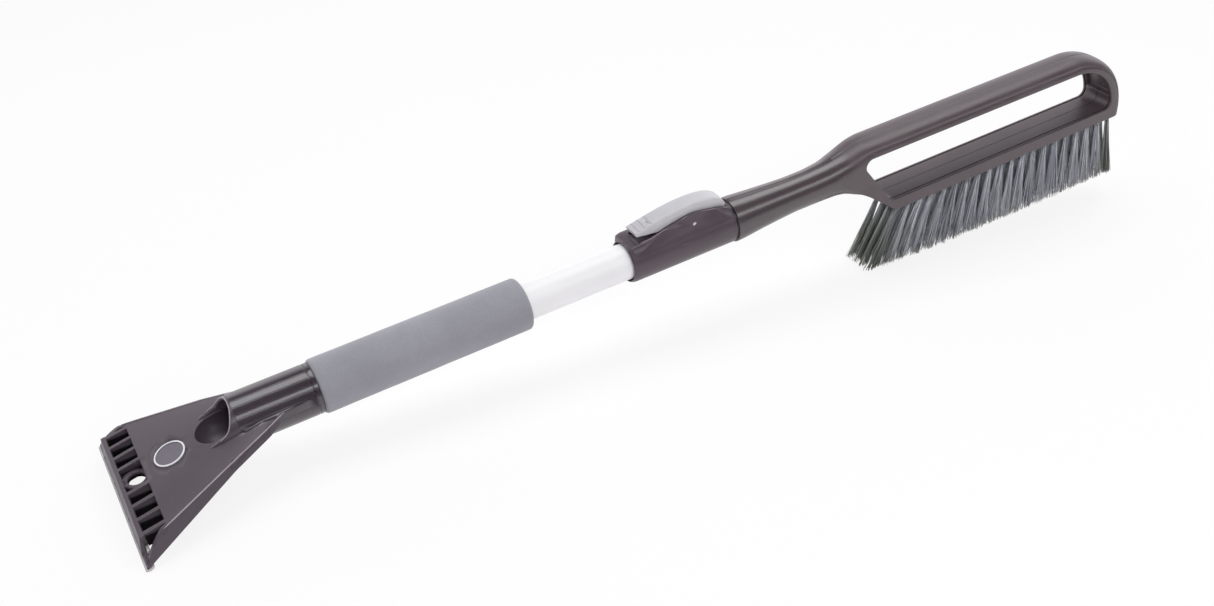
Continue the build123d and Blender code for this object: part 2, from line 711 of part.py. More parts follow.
# the loop: a section with a crowned back carried along the bar and round the end
end_axis_x = loop_end_x - loop_end_r
end_axis_z = bar_top_z - loop_end_r
bar_section = ThreePointArc((-loop_half, bar_edge_z), (0, bar_top_z), (loop_half, bar_edge_z))
bar_section += Polyline((loop_half, bar_edge_z), (loop_half, block_under_z),
                        (-loop_half, block_under_z), (-loop_half, bar_edge_z))
loop = extrude(Plane.YZ.offset(loop_start_x) * make_face(bar_section),
               amount=end_axis_x - loop_start_x)
end_edge_r = loop_end_r - loop_crown
end_outline = ThreePointArc((end_edge_r, -loop_half), (loop_end_r, 0), (end_edge_r, loop_half))
end_outline += Polyline((end_edge_r, loop_half), (0.0, loop_half), (0.0, -loop_half),
                        (end_edge_r, -loop_half))
end_face = Pos(end_axis_x, 0, end_axis_z) * make_face(end_outline)
loop += revolve(end_face, Axis((end_axis_x, 0, end_axis_z), (0, -1, 0)), 90)
end_block = Pos(end_axis_x, 0, block_under_z) * make_face(end_outline)
loop += extrude(end_block, amount=end_axis_z - block_under_z)
web_start = loop_start_x - past
loop -= across(
    polygon(
        (web_start, web_z(web_start)),
        (web_x, block_under_z),
        (web_x, block_under_z - past),
        (web_start, block_under_z - past),
    ),
    -2 * loop_half,
    2 * loop_half,
)
frame += loop

# the hand gap
gap_arc_z = bar_under_z - gap_end_r
gap_side_x = gap_end_x + sqrt(gap_end_r ** 2 - (block_top_z - gap_arc_z) ** 2)
gap_arc_middle = (gap_end_x + gap_end_r * cos(pi / 4), gap_arc_z + gap_end_r * sin(pi / 4))
gap_outline = Polyline((gap_end_x, bar_under_z), (gap_top_x, bar_under_z),
                       (gap_low_x, block_top_z), (gap_side_x, block_top_z))
gap_outline += ThreePointArc((gap_side_x, block_top_z), gap_arc_middle, (gap_end_x, bar_under_z))
gap = make_face(gap_outline)
for place, radius in (
    ((gap_top_x, bar_under_z, 0), gap_top_start_r),
    ((gap_low_x, block_top_z, 0), gap_low_start_r),
    ((gap_side_x, block_top_z, 0), gap_low_corner_r),
):
    gap = fillet(gap.vertices().sort_by_distance(place)[0], radius)
frame -= across(gap, -2 * loop_half, 2 * loop_half)

# grooves beside the flat rims, inside the gap and round the back
wide_gap = offset(gap, seam_depth)
groove_low = loop_half - face_width - seam_width
groove_high = loop_half - face_width
back_r = end_edge_r - seam_width
back_z = bar_edge_z - seam_width
groove_foot_z = block_under_z + strip_depth
for side in (-1, 1):
    near, far = sorted((side * groove_low, side * groove_high))
    frame -= across(wide_gap, near, far)
    near, far = sorted((side * (loop_half - seam_depth), side * (loop_half + past)))
    band = brick(loop_start_x - seam_width, end_axis_x, near, far, back_z - seam_width, back_z)
    ring = Cylinder(back_r, far - near) - Cylinder(back_r - seam_width, far - near + past)
    ring = Pos(end_axis_x, (near + far) / 2, end_axis_z) * Rot(90, 0, 0) * ring
    quarter = brick(end_axis_x, loop_end_x, near, far, end_axis_z, bar_top_z)
    frame -= band
    frame -= ring & quarter
    frame -= brick(end_axis_x + back_r - seam_width, end_axis_x + back_r, near, far,
                   groove_foot_z, end_axis_z)

# seat of the tube and the collar pins' holes
frame -= rod(spigot_bore_r, spigot_x - past, neck_x + seat_depth)
for hole in pin_holes:
    frame -= hole

# ---- bristle rows, in a channel along the block's underside ---------------------------
row_pitch = strip_width + 2 * press_gap
channel_half = rows * row_pitch / 2
strip_x0 = web_x + strip_front
strip_x1 = loop_end_x - strip_back
strip_top = block_under_z + strip_depth
frame -= brick(strip_x0 - press_gap, strip_x1 + press_gap, -channel_half, channel_half,
               block_under_z - past, strip_top + press_gap)

first_tuft_x = strip_x0 + tuft_margin
tufts = int((strip_x1 - tuft_margin - first_tuft_x) / tuft_pitch) + 1
tuft_row = tuft_pitch * (tufts - 1)
strand_r = strand_side / sqrt(3)
tuft_spread_y = (row_pitch - tip_gap) / 2 - strand_r - tuft_root
foot = [(strand_r * cos(turn), strand_r * sin(turn)) for turn in (0, 2 * pi / 3, 4 * pi / 3)]


def strand(run, y, right, along_y, index):
    """One strand: a three-sided prism from its root to its tip."""
    share = run / tuft_row
    lean = radians(last_lean * share ** 2 - first_lean * exp(-run / lean_reach))
    length = bristle_first + (bristle_last - bristle_first) * share
    length -= bristle_uneven * (1 + sin(13.0 * index)) / 2
    tip = (length * sin(lean) + right * tuft_spread, along_y * tuft_spread_y,
           -length * cos(lean))
    reach = sqrt(tip[0] ** 2 + tip[1] ** 2 + tip[2] ** 2)
    unit = tuple(v / reach for v in tip)
    back = strand_sink / -unit[2]
    start = (first_tuft_x + run + right * tuft_root - unit[0] * back,
             y + along_y * tuft_root - unit[1] * back,
             block_under_z - unit[2] * back)
    face = Pos(*start) * make_face(Polyline(*foot, close=True))
    return extrude(face, amount=reach + back, dir=unit)


bristle_rows = []
for row in range(rows):
    row_y = (row - (rows - 1) / 2) * row_pitch
    strip = brick(strip_x0, strip_x1, row_y - strip_width / 2, row_y + strip_width / 2,
                  block_under_z, strip_top)
    strands = [
        strand(tuft_pitch * k, row_y, right, along_y, len(strand_places) * k + n + 7 * row)
        for k in range(tufts)
        for n, (right, along_y) in enumerate(strand_places)
    ]
    bristle_rows.append(strip.fuse(*strands))

# ---- stand the tool on its blade and its lowest bristle tips --------------------------
parts = {
    "brush_frame": frame,
    "lock_collar": collar,
    "mouth_bush": bush,
    "joint_ring": joint_ring,
    "collar_pin_near": collar_pins[0],
    "collar_pin_far": collar_pins[1],
    "lever_pin": lever_pin,
    "lever_spring": spring,
    "shaft_tube": tube,
    "tube_front_plug": front_plug,
    "tube_end_plug": end_plug,
    "grip_sleeve": grip,
    "scraper_head": head,
    "scraper_blade": blade,
    "badge_disc": badge_disc,
    "head_screw": screw,
    "lock_lever": lever,
    "brake_pad": pad,
}
for row, solid in enumerate(bristle_rows):
    parts[f"bristle_row_{row + 1}"] = solid

tips = [v for solid in bristle_rows for v in solid.vertices() if v.Z < block_under_z - past]
tilt = max(degrees(atan2(lip_low - v.Z, v.X - lip_front)) for v in tips)
turned_parts = {name: Rot(0, -tilt, 0) * solid for name, solid in parts.items()}
boxes = [solid.bounding_box() for solid in turned_parts.values()]
low_x = min(box.min.X for box in boxes)
high_x = max(box.max.X for box in boxes)
low_z = min(box.min.Z for box in boxes)
high_z = max(box.max.Z for box in boxes)
shift = (-(low_x + high_x) / 2, 0.0, -low_z)
print("tilt", round(tilt, 4), "shift", [round(v, 3) for v in shift])
print("size", round(high_x - low_x, 2), round(high_z - low_z, 2))

os.makedirs("parts", exist_ok=True)
for name, solid in turned_parts.items():
    export_step(Pos(*shift) * solid, f"parts/{name}.step")
    print(name, len(solid.solids()), round(solid.volume, 1))
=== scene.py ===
"""A snow broom as it is put together: a white handle tube with a foam grip, an ice
scraper head on its lower end, and a loop-handled brush that slides on its upper end and
is held there by a rocker lock.

Pieces are drawn in millimetres in the tool's own frame: X runs along the tube from the
scraper to the brush with zero where the socket ends and the grip begins, Y runs across
the blade, and Z points away from the bristles."""

import json
from math import radians

import bmesh
import bpy
import numpy as np
from mathutils import Matrix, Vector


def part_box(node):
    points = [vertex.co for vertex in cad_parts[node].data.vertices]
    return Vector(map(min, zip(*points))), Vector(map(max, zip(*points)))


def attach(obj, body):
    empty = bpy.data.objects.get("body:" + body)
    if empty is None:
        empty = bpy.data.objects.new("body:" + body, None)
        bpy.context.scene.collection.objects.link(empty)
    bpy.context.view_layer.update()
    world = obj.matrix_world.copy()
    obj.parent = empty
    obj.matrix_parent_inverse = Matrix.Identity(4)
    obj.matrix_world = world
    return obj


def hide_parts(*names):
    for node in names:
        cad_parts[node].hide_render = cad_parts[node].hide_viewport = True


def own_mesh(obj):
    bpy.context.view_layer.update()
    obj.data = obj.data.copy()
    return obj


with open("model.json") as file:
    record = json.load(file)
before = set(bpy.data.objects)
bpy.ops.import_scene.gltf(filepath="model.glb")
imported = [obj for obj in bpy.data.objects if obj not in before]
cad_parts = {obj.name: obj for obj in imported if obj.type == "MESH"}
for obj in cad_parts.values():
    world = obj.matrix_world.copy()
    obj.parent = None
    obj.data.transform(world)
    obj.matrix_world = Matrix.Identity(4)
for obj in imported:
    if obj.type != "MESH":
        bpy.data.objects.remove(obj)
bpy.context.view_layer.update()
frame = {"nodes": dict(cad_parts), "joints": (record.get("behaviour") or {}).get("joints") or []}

# ---- handle tube -----------------------------------------------------------------------
# Drawn aluminium tube, 22 mm across with a 1 mm wall, powder coated white.  Plastic plugs
# close both ends: one looks into the scraper's scoop, the other slides inside the brush.
joints = {joint["name"]: joint for joint in frame["joints"]}
along_tube = -np.array(joints["shaft_draw"]["axis"])
up_from_tube = np.array([-along_tube[2], 0.0, along_tube[0]])
pin_x, pin_z = 237.9, 14.0
tool_zero = np.array(joints["lever_rock"]["pos_m"])
tool_zero = tool_zero - (pin_x * along_tube + pin_z * up_from_tube) / 1000


def placed(points):
    """Points in millimetres in the tool's frame, turned and shifted to where it stands."""
    points = np.asarray(points, float)
    x, y, z = points[..., 0:1], points[..., 1:2], points[..., 2:3]
    across = np.array([0.0, 1.0, 0.0])
    return tool_zero + (x * along_tube + y * across + z * up_from_tube) / 1000


def linear(code):
    """Linear colour of an sRGB hex code: c / 12.92 up to 0.04045, and above it
    ((c + 0.055) / 1.055) to the power 2.4."""
    c = np.array([int(code[k:k + 2], 16) for k in (1, 3, 5)]) / 255
    c = np.where(c <= 0.04045, c / 12.92, ((c + 0.055) / 1.055) ** 2.4)
    return (*c.tolist(), 1.0)


def add(tree, kind, settings=None, **inputs):
    """Adds a node: settings are its own properties, inputs are sockets to link or values
    to set, with the input's name in small letters and spaces as underlines."""
    node = tree.nodes.new("ShaderNode" + kind)
    for key, value in (settings or {}).items():
        setattr(node, key, value)
    names = {}
    for socket in node.inputs:
        names.setdefault(socket.name.lower().replace(" ", "_"), socket)
    for key, value in inputs.items():
        socket = node.inputs[int(key[1:])] if key[1:].isdigit() else names[key]
        if isinstance(value, bpy.types.NodeSocket):
            tree.links.new(value, socket)
        else:
            socket.default_value = value
    return node


def finish_named(name):
    """An empty material and its tree."""
    material = bpy.data.materials.new(name)
    material.use_nodes = True
    material.node_tree.nodes.clear()
    return material, material.node_tree


# Powder coat: a soft orange peel about 3 mm across, and hand marks that dull it in patches.
coat, tree = finish_named("white_powder_coated_aluminium")
here = add(tree, "TexCoord").outputs["Object"]
peel = add(tree, "TexNoise", vector=here, scale=320.0, detail=2.0, roughness=0.5)
marks = add(tree, "TexNoise", vector=here, scale=34.0, detail=4.0, roughness=0.6)
dulled = add(tree, "MapRange", value=marks.outputs["Fac"], from_min=0.35, from_max=0.7,
             to_min=0.26, to_max=0.42)
tint = add(tree, "ValToRGB", fac=marks.outputs["Fac"])
tint.color_ramp.elements[0].position, tint.color_ramp.elements[1].position = 0.3, 0.75
tint.color_ramp.elements[0].color = linear("#e6e6e8")
tint.color_ramp.elements[1].color = linear("#eeeef0")
bump = add(tree, "Bump", strength=0.12, distance=0.0002, height=peel.outputs["Fac"])
skin = add(tree, "BsdfPrincipled", base_color=tint.outputs["Color"], ior=1.5,
           roughness=dulled.outputs["Result"], normal=bump.outputs["Normal"])
add(tree, "OutputMaterial", surface=skin.outputs["BSDF"])


def dress(node, material):
    """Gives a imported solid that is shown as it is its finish."""
    solid = frame["nodes"][node]
    solid.data.materials.clear()
    solid.data.materials.append(material)


dress("shaft_tube", coat)

# ---- moulded charcoal plastic ----------------------------------------------------------
# Polypropylene as it leaves a fine-eroded mould: satin, a faint grain, softer and paler
# where hands and gloves have rubbed it, with a few hair scratches and specks of dust.


def moulded(name, dark, pale, gloss, edge=0.6, polish=None, pocket_shade=None, seam=None):
    """Moulded plastic between two close shades, with gloss as its roughness and its edges
    eased by edge millimetres.  Polish gives (matt x, polished x, roughness, share of the
    colour left): from there on the round core about the tube's axis is polished.  The
    pocket shading after it gives (x, x, height, half width): painted shade, dark and matt,
    lies between those places, under that height and nearer the middle than that, where
    deep pockets stand in shade.  Beyond x = seam the parting line has caught dirt."""
    core_r, core_end_r = 15.2, 16.4
    seam_y, seam_end_y = 0.22, 0.5
    material, tree = finish_named(name)
    here = add(tree, "TexCoord").outputs["Object"]
    grain = add(tree, "TexNoise", vector=here, scale=1400.0, detail=3.0, roughness=0.6)
    clouds = add(tree, "TexNoise", vector=here, scale=26.0, detail=5.0, roughness=0.62)
    stretched = add(tree, "Mapping", vector=here, scale=(60.0, 900.0, 900.0))
    hairs = add(tree, "TexNoise", vector=stretched.outputs["Vector"], scale=1.0, detail=2.0)
    hair = add(tree, "MapRange", value=hairs.outputs["Fac"], from_min=0.68, from_max=0.8)
    dust = add(tree, "TexVoronoi", vector=here, scale=230.0)
    speck = add(tree, "MapRange", value=dust.outputs["Distance"], from_min=0.03, from_max=0.07,
                to_min=1.0, to_max=0.0)
    seldom = add(tree, "TexNoise", vector=here, scale=55.0)
    kept = add(tree, "MapRange", value=seldom.outputs["Fac"], from_min=0.6, from_max=0.66)
    speck = add(tree, "Math", {"operation": "MULTIPLY"}, _0=speck.outputs["Result"],
                _1=kept.outputs["Result"])
    tint = add(tree, "ValToRGB", fac=clouds.outputs["Fac"])
    tint.color_ramp.elements[0].position, tint.color_ramp.elements[1].position = 0.32, 0.72
    tint.color_ramp.elements[0].color = linear(dark)
    tint.color_ramp.elements[1].color = linear(pale)
    worn = add(tree, "Math", {"operation": "MULTIPLY"}, _0=hair.outputs["Result"], _1=0.1)
    dusty = add(tree, "Math", {"operation": "MULTIPLY_ADD"}, _0=speck.outputs["Value"],
                _1=0.2, _2=worn.outputs["Value"])
    tint = add(tree, "Mix", {"data_type": "RGBA"}, _0=dusty.outputs["Value"],
               _6=tint.outputs["Color"], _7=linear("#b9b2b4"))
    rough = add(tree, "MapRange", value=clouds.outputs["Fac"], from_min=0.3, from_max=0.75,
                to_min=gloss - 0.05, to_max=gloss + 0.07)
    colour, rough, shine = tint.outputs[2], rough.outputs["Result"], 0.62
    # millimetres along the tube, across it and above its axis
    local = add(tree, "VectorMath", {"operation": "SUBTRACT"}, _0=here, _1=tool_zero.tolist())
    along, above = [
        add(tree, "VectorMath", {"operation": "DOT_PRODUCT"}, _0=local.outputs[0],
            _1=(1000 * way).tolist()).outputs["Value"] for way in (along_tube, up_from_tube)]
    across = add(tree, "SeparateXYZ", vector=local.outputs[0]).outputs["Y"]
    across = add(tree, "Math", {"operation": "MULTIPLY"}, _0=across, _1=1000.0)
    across = add(tree, "Math", {"operation": "ABSOLUTE"}, _0=across.outputs["Value"])
    across = across.outputs["Value"]
    if polish:
        shiny = add(tree, "MapRange", value=along, from_min=polish[0], from_max=polish[1])
        away = add(tree, "CombineXYZ", x=across, y=above)
        away = add(tree, "VectorMath", {"operation": "LENGTH"}, _0=away.outputs["Vector"])
        core = add(tree, "MapRange", value=away.outputs["Value"], from_min=core_r,
                   from_max=core_end_r, to_min=1.0, to_max=0.0)
        shiny = add(tree, "Math", {"operation": "MULTIPLY"}, _0=shiny.outputs["Result"],
                    _1=core.outputs["Result"]).outputs["Value"]
        colour = add(tree, "Mix", {"data_type": "RGBA", "blend_type": "MULTIPLY"}, _0=shiny,
                     _6=colour, _7=(polish[3], polish[3], polish[3], 1.0)).outputs[2]
        rough = add(tree, "Mix", _0=shiny, _2=rough, _3=polish[2]).outputs[0]
        shine = add(tree, "Mix", _0=shiny, _2=shine, _3=1.0).outputs[0]
    # painted shade: deep pockets darkened and dulled where little light reaches them
    if pocket_shade:
        painted_shade = 1.0
        for value, low, step in ((along, pocket_shade[0], 0.5), (along, pocket_shade[1], -0.5),
                                 (above, pocket_shade[2], -1.5), (across, pocket_shade[3], -1.0)):
            inside = add(tree, "MapRange", value=value, from_min=low, from_max=low + step)
            painted_shade = add(tree, "Math", {"operation": "MULTIPLY"}, _0=painted_shade,
                       _1=inside.outputs["Result"]).outputs["Value"]
        colour = add(tree, "Mix", {"data_type": "RGBA"}, _0=painted_shade, _6=colour,
                     _7=linear("#151114")).outputs[2]
        rough = add(tree, "Mix", _0=painted_shade, _2=rough, _3=0.9).outputs[0]
        shine = add(tree, "Mix", _0=painted_shade, _2=shine, _3=0.1).outputs[0]
    if seam:
        line = add(tree, "MapRange", value=across, from_min=seam_y, from_max=seam_end_y,
                   to_min=1.0, to_max=0.0)
        beyond = add(tree, "MapRange", value=along, from_min=seam, from_max=seam + 10)
        broken = add(tree, "MapRange", value=clouds.outputs["Fac"], from_min=0.35,
                     from_max=0.6, to_min=0.9, to_max=0.3)
        line = add(tree, "Math", {"operation": "MULTIPLY"}, _0=line.outputs["Result"],
                   _1=beyond.outputs["Result"])
        line = add(tree, "Math", {"operation": "MULTIPLY"}, _0=line.outputs["Value"],
                   _1=broken.outputs["Result"])
        colour = add(tree, "Mix", {"data_type": "RGBA"}, _0=line.outputs["Value"],
                     _6=colour, _7=linear("#1d181b")).outputs[2]
    soft = add(tree, "Bevel", {"samples": 6}, radius=edge / 1000)
    bump = add(tree, "Bump", strength=0.25, distance=0.00012, height=grain.outputs["Fac"],
               normal=soft.outputs["Normal"])
    skin = add(tree, "BsdfPrincipled", base_color=colour, ior=1.49, roughness=rough,
               specular_ior_level=shine, normal=bump.outputs["Normal"])
    add(tree, "OutputMaterial", surface=skin.outputs["BSDF"])
    return material


charcoal = moulded("moulded_polypropylene_charcoal", "#453a42", "#4f444c", 0.36)


def crisp(node, name, material, body, sharp=26):
    """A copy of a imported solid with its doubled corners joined, shaded smooth between the
    edges that turn by more than sharp degrees."""
    mesh = frame["nodes"][node].data.copy()
    mesh.name = name
    form = bmesh.new()
    form.from_mesh(mesh)
    bmesh.ops.remove_doubles(form, verts=form.verts, dist=2e-6)
    bmesh.ops.dissolve_degenerate(form, edges=form.edges, dist=1e-6)
    form.to_mesh(mesh)
    form.free()
    mesh.materials.clear()
    mesh.materials.append(material)
    mesh.shade_smooth()
    mesh.set_sharp_from_angle(angle=radians(sharp))
    piece = bpy.data.objects.new(name, mesh)
    bpy.context.scene.collection.objects.link(piece)
    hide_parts(node)
    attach(piece, body)
    return piece


for plug in ("tube_front_plug", "tube_end_plug"):
    dress(plug, charcoal)

# ---- foam grip -------------------------------------------------------------------------
# A closed-cell foam sleeve pushed over the tube: mid grey, matt, skinned by the die it was
# drawn through, with rounded ends and a fine pore.
foam_r, foam_bore, foam_x0, foam_x1, foam_round = 15.65, 11.3, 0.3, 125.7, 1.9


def shell(name, points, material, wrap=(False, False), ends=False, keep=None):
    """A surface given on a grid of points: quads between neighbours, joined round in the
    directions that wrap, with the first and last rows closed where ends says so.  Quads
    that keep leaves out are not made, and points that meet are joined."""
    n, m = points.shape[:2]
    i, j = np.meshgrid(np.arange(n if wrap[0] else n - 1), np.arange(m if wrap[1] else m - 1),
                       indexing="ij")
    i1, j1 = (i + 1) % n, (j + 1) % m
    quads = np.stack([i * m + j, i1 * m + j, i1 * m + j1, i * m + j1], -1)
    faces = (quads.reshape(-1, 4) if keep is None else quads[keep]).tolist()
    if ends:
        faces += [list(range(m))[::-1], list(range((n - 1) * m, n * m))]
    mesh = bpy.data.meshes.new(name)
    mesh.from_pydata(placed(points.reshape(-1, 3)).tolist(), [], faces)
    form = bmesh.new()
    form.from_mesh(mesh)
    bmesh.ops.remove_doubles(form, verts=form.verts, dist=4e-7)
    bmesh.ops.dissolve_degenerate(form, edges=form.edges, dist=4e-7)
    bmesh.ops.delete(form, geom=[v for v in form.verts if not v.link_faces], context="VERTS")
    bmesh.ops.recalc_face_normals(form, faces=form.faces)
    form.to_mesh(mesh)
    form.free()
    mesh.shade_smooth()
    mesh.set_sharp_from_angle(angle=radians(38))
    mesh.materials.append(material)
    piece = bpy.data.objects.new(name, mesh)
    bpy.context.scene.collection.objects.link(piece)
    return piece


def turned(profile, sides=96):
    """A closed profile of (along, radius) pairs turned about the tube's axis: each point
    goes to (along, radius cos a, radius sin a)."""
    profile = np.asarray(profile, float)
    a = np.linspace(0, 2 * np.pi, sides, endpoint=False)
    x = np.repeat(profile[:, :1], sides, 1)
    return np.stack([x, profile[:, 1:] * np.cos(a), profile[:, 1:] * np.sin(a)], -1)


quarter = np.linspace(0, np.pi / 2, 7)
left = np.stack([foam_x0 + foam_round * (1 - np.sin(quarter)),
                 foam_r - foam_round * (1 - np.cos(quarter))], -1)[::-1]
right = np.stack([foam_x1 - foam_round * (1 - np.sin(quarter)),
                  foam_r - foam_round * (1 - np.cos(quarter))], -1)
middle_x = np.linspace(foam_x0 + foam_round, foam_x1 - foam_round, 90)[1:-1]
uneven = 0.05 * np.sin(middle_x / 9.0) * np.sin(middle_x / 4.3)
middle = np.stack([middle_x, foam_r + uneven], -1)
bore = [[foam_x1, foam_bore], [foam_x0, foam_bore]]
sleeve = turned(np.concatenate([left, middle, right, bore]))

foam, tree = finish_named("closed_cell_foam_grey")
here = add(tree, "TexCoord").outputs["Object"]
# pores of about 0.8 mm, drawn a little coarser than real so that they show
pores = add(tree, "TexVoronoi", vector=here, scale=1250.0)
handled = add(tree, "TexNoise", vector=here, scale=30.0, detail=5.0, roughness=0.65)
fine = add(tree, "TexNoise", vector=here, scale=900.0, detail=2.0)
tint = add(tree, "ValToRGB", fac=handled.outputs["Fac"])
tint.color_ramp.elements[0].position, tint.color_ramp.elements[1].position = 0.3, 0.72
tint.color_ramp.elements[0].color = linear("#8a8a92")
tint.color_ramp.elements[1].color = linear("#96969e")
speckle = add(tree, "MapRange", value=fine.outputs["Fac"], from_min=0.35, from_max=0.65,
              to_min=0.0, to_max=0.14)
tint = add(tree, "Mix", {"data_type": "RGBA"}, _0=speckle.outputs["Result"],
           _6=tint.outputs["Color"], _7=linear("#74747c"))
rough = add(tree, "MapRange", value=handled.outputs["Fac"], to_min=0.62, to_max=0.8)
bump = add(tree, "Bump", strength=0.5, distance=0.00025, height=pores.outputs["Distance"])
skin = add(tree, "BsdfPrincipled", base_color=tint.outputs[2], ior=1.45,
           roughness=rough.outputs["Result"], sheen_weight=0.25, sheen_roughness=0.5,
           normal=bump.outputs["Normal"])
add(tree, "OutputMaterial", surface=skin.outputs["BSDF"])

grip = shell("foam_grip", sleeve, foam, wrap=(True, True))
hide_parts("grip_sleeve")
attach(grip, "shaft")

# ---- scraper head ----------------------------------------------------------------------
# One moulding: a socket for the tube, a scoop in front of it, a fan-shaped plate with a
# comb of ribs along its front and side skirts that stand on the blade.
# the comb's pockets under the plate get painted shade, dark and matt
head_plastic = moulded("head_polypropylene_charcoal", "#433842", "#4c414b", 0.44,
                       polish=(-47.0, -45.5, 0.2, 0.6), pocket_shade=(-107.0, -95.5, -11.6, 43.5))
crisp("scraper_head", "ice_scraper_head", head_plastic, "shaft")

# ---- scoop brow ------------------------------------------------------------------------
# Part of the same moulding: the socket's wall runs out over the scoop as a brow with a
# rolled lip, which falls to the plate on both sides and catches the light.
lip_r, lip_middle = 1.2, 12.9
hood_foot_x, hood_outer_r, hood_inner_r, crest_r = -43.5, 14.3, 10.7, 13.75
height = np.linspace(-2.0, 14.0, 161)
brow = np.interp(height, [-1.0, 0.0, 1.0, 2.2, 3.6, 5.0, 8.0, 12.4, 14.0],
                 [-62.3, -60.4, -57.7, -54.4, -51.9, -50.6, -48.8, -46.2, -45.9])
weight = np.hanning(23)
brow = np.convolve(np.pad(brow, 11, mode="edge"), weight / weight.sum(), "valid")
lean = np.radians(np.linspace(-94, 94, 150))[:, None]
front = np.interp(lip_middle * np.cos(lean), height, brow)
a = np.radians(np.linspace(90, 270, 11))[None, :]
foot = front * 0 + hood_foot_x
x = np.concatenate([foot, front + lip_r + lip_r * np.cos(a), foot], 1)
r = np.concatenate([front * 0 + hood_outer_r, lip_middle + lip_r * np.sin(a) + 0 * front,
                    front * 0 + hood_inner_r], 1)
hood = np.stack([x, r * np.sin(lean), r * np.cos(lean)], -1)
lip_plastic = moulded("brow_polypropylene_charcoal", "#463b45", "#50454f", 0.24)
hood = shell("scoop_brow", hood, lip_plastic, wrap=(False, True), ends=True)
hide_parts("scraper_head")
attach(hood, "shaft")

# ---- edge beads, pale with painted highlight -------------------------------------------
# Part of the same moulding: fine rounded ridges where the plate turns into each skirt and
# along the brow's lip.  Their pale colour is a painted highlight, the light their rounding
# catches.
edge_highlight_paint = moulded("rubbed_polypropylene_edge", "#857a83", "#a39aa2", 0.3, edge=0.1)


def bead(name, path, radius, material):
    """A closed rod along a path: a circle of twelve points square to the path at each of a
    hundred and twenty even steps of it, after its corners are averaged over thirteen steps
    with a raised-cosine weight.  Its radius falls off at both ends."""
    path, steps = np.asarray(path, float), 120
    run = np.append(0, np.cumsum(np.linalg.norm(np.diff(path, axis=0), axis=1)))
    at = np.linspace(0, run[-1], steps)
    line = np.stack([np.interp(at, run, path[:, k]) for k in range(3)], -1)
    weight = np.hanning(13) / np.hanning(13).sum()
    line = np.stack([np.convolve(np.pad(line[:, k], 6, mode="reflect", reflect_type="odd"),
                                 weight, "valid") for k in range(3)], -1)
    ahead = np.gradient(line, axis=0)
    ahead /= np.linalg.norm(ahead, axis=1, keepdims=True)
    aside = np.cross(ahead, [0.0, 0.0, 1.0])
    aside /= np.linalg.norm(aside, axis=1, keepdims=True)
    up = np.cross(aside, ahead)
    taper = radius * np.sqrt(np.clip(1 - np.abs(np.linspace(-1, 1, steps)) ** 12, 0.02, 1))
    a = np.linspace(0, 2 * np.pi, 12, endpoint=False)[None, :, None]
    ring = line[:, None] + taper[:, None, None] * (aside[:, None] * np.cos(a)
                                                   + up[:, None] * np.sin(a))
    return shell(name, ring, material, wrap=(False, True), ends=True)


lip = np.concatenate([front, crest_r * np.sin(lean), crest_r * np.cos(lean)], 1)
plate_side = [(-97.2, 45.1, -9.95), (-55.0, 28.75, -1.6), (-32.0, 18.75, 1.95),
              (-20.9, 13.6, 3.85)]
for name, path, radius in (
    ("brow_edge", lip[8:-8] + [0.35, 0, 0], 0.36),
    ("plate_ridge_near", [(x, -y, z) for x, y, z in plate_side], 0.4),
    ("plate_ridge_far", plate_side, 0.4),
):
    ridge = bead(name, path, radius, edge_highlight_paint)
    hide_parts("scraper_head")
    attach(ridge, "shaft")

# ---- ice blade -------------------------------------------------------------------------
# A light grey polycarbonate strip, clipped behind the front wall on studs; its lip
# stands a little in front of the head and scrapes.  Its grey is made paler than its own,
# a painted highlight that stands for the bright line along the front edge.
blade_plastic = moulded("polycarbonate_blade_grey", "#b9b5b9", "#c9c6c9", 0.24)
crisp("scraper_blade", "ice_blade", blade_plastic, "shaft")

# ---- badge disc ------------------------------------------------------------------------
# A plain round plate pressed into its seat in the fan, lacquered satin grey, with a
# bright rim left round the face.
badge_plastic = moulded("satin_lacquered_disc", "#5f5a64", "#6b6670", 0.3)
tree = badge_plastic.node_tree
here = add(tree, "TexCoord").outputs["Object"]
middle = np.mean(np.array(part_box("badge_disc")), 0).tolist()
out = add(tree, "VectorMath", {"operation": "DISTANCE"}, _0=here, _1=middle).outputs["Value"]
rim = add(tree, "MapRange", value=out, from_min=0.00765, from_max=0.00775).outputs["Result"]
face = next(node for node in tree.nodes if node.type == "BSDF_PRINCIPLED")
painted = face.inputs["Base Color"].links[0].from_socket
add_rim = add(tree, "Mix", {"data_type": "RGBA"}, _0=rim, _6=painted, _7=linear("#e2e2e6"))
tree.links.new(add_rim.outputs[2], face.inputs["Base Color"])
dress("badge_disc", badge_plastic)

# ---- head screw ------------------------------------------------------------------------
# A zinc-plated steel cross-head screw through the underside of the socket into the tube.
# The cross pins of lever and collar have the same finish.
zinc, tree = finish_named("zinc_plated_steel")
here = add(tree, "TexCoord").outputs["Object"]
spangle = add(tree, "TexNoise", vector=here, scale=700.0, detail=3.0)
tint = add(tree, "ValToRGB", fac=spangle.outputs["Fac"])
tint.color_ramp.elements[0].color = linear("#a9a9ad")
tint.color_ramp.elements[1].color = linear("#d2d2d4")
rough = add(tree, "MapRange", value=spangle.outputs["Fac"], to_min=0.22, to_max=0.4)
skin = add(tree, "BsdfPrincipled", base_color=tint.outputs["Color"], metallic=1.0,
           roughness=rough.outputs["Result"])
add(tree, "OutputMaterial", surface=skin.outputs["BSDF"])
for steel_part in ("head_screw", "lever_pin", "collar_pin_near", "collar_pin_far"):
    dress(steel_part, zinc)

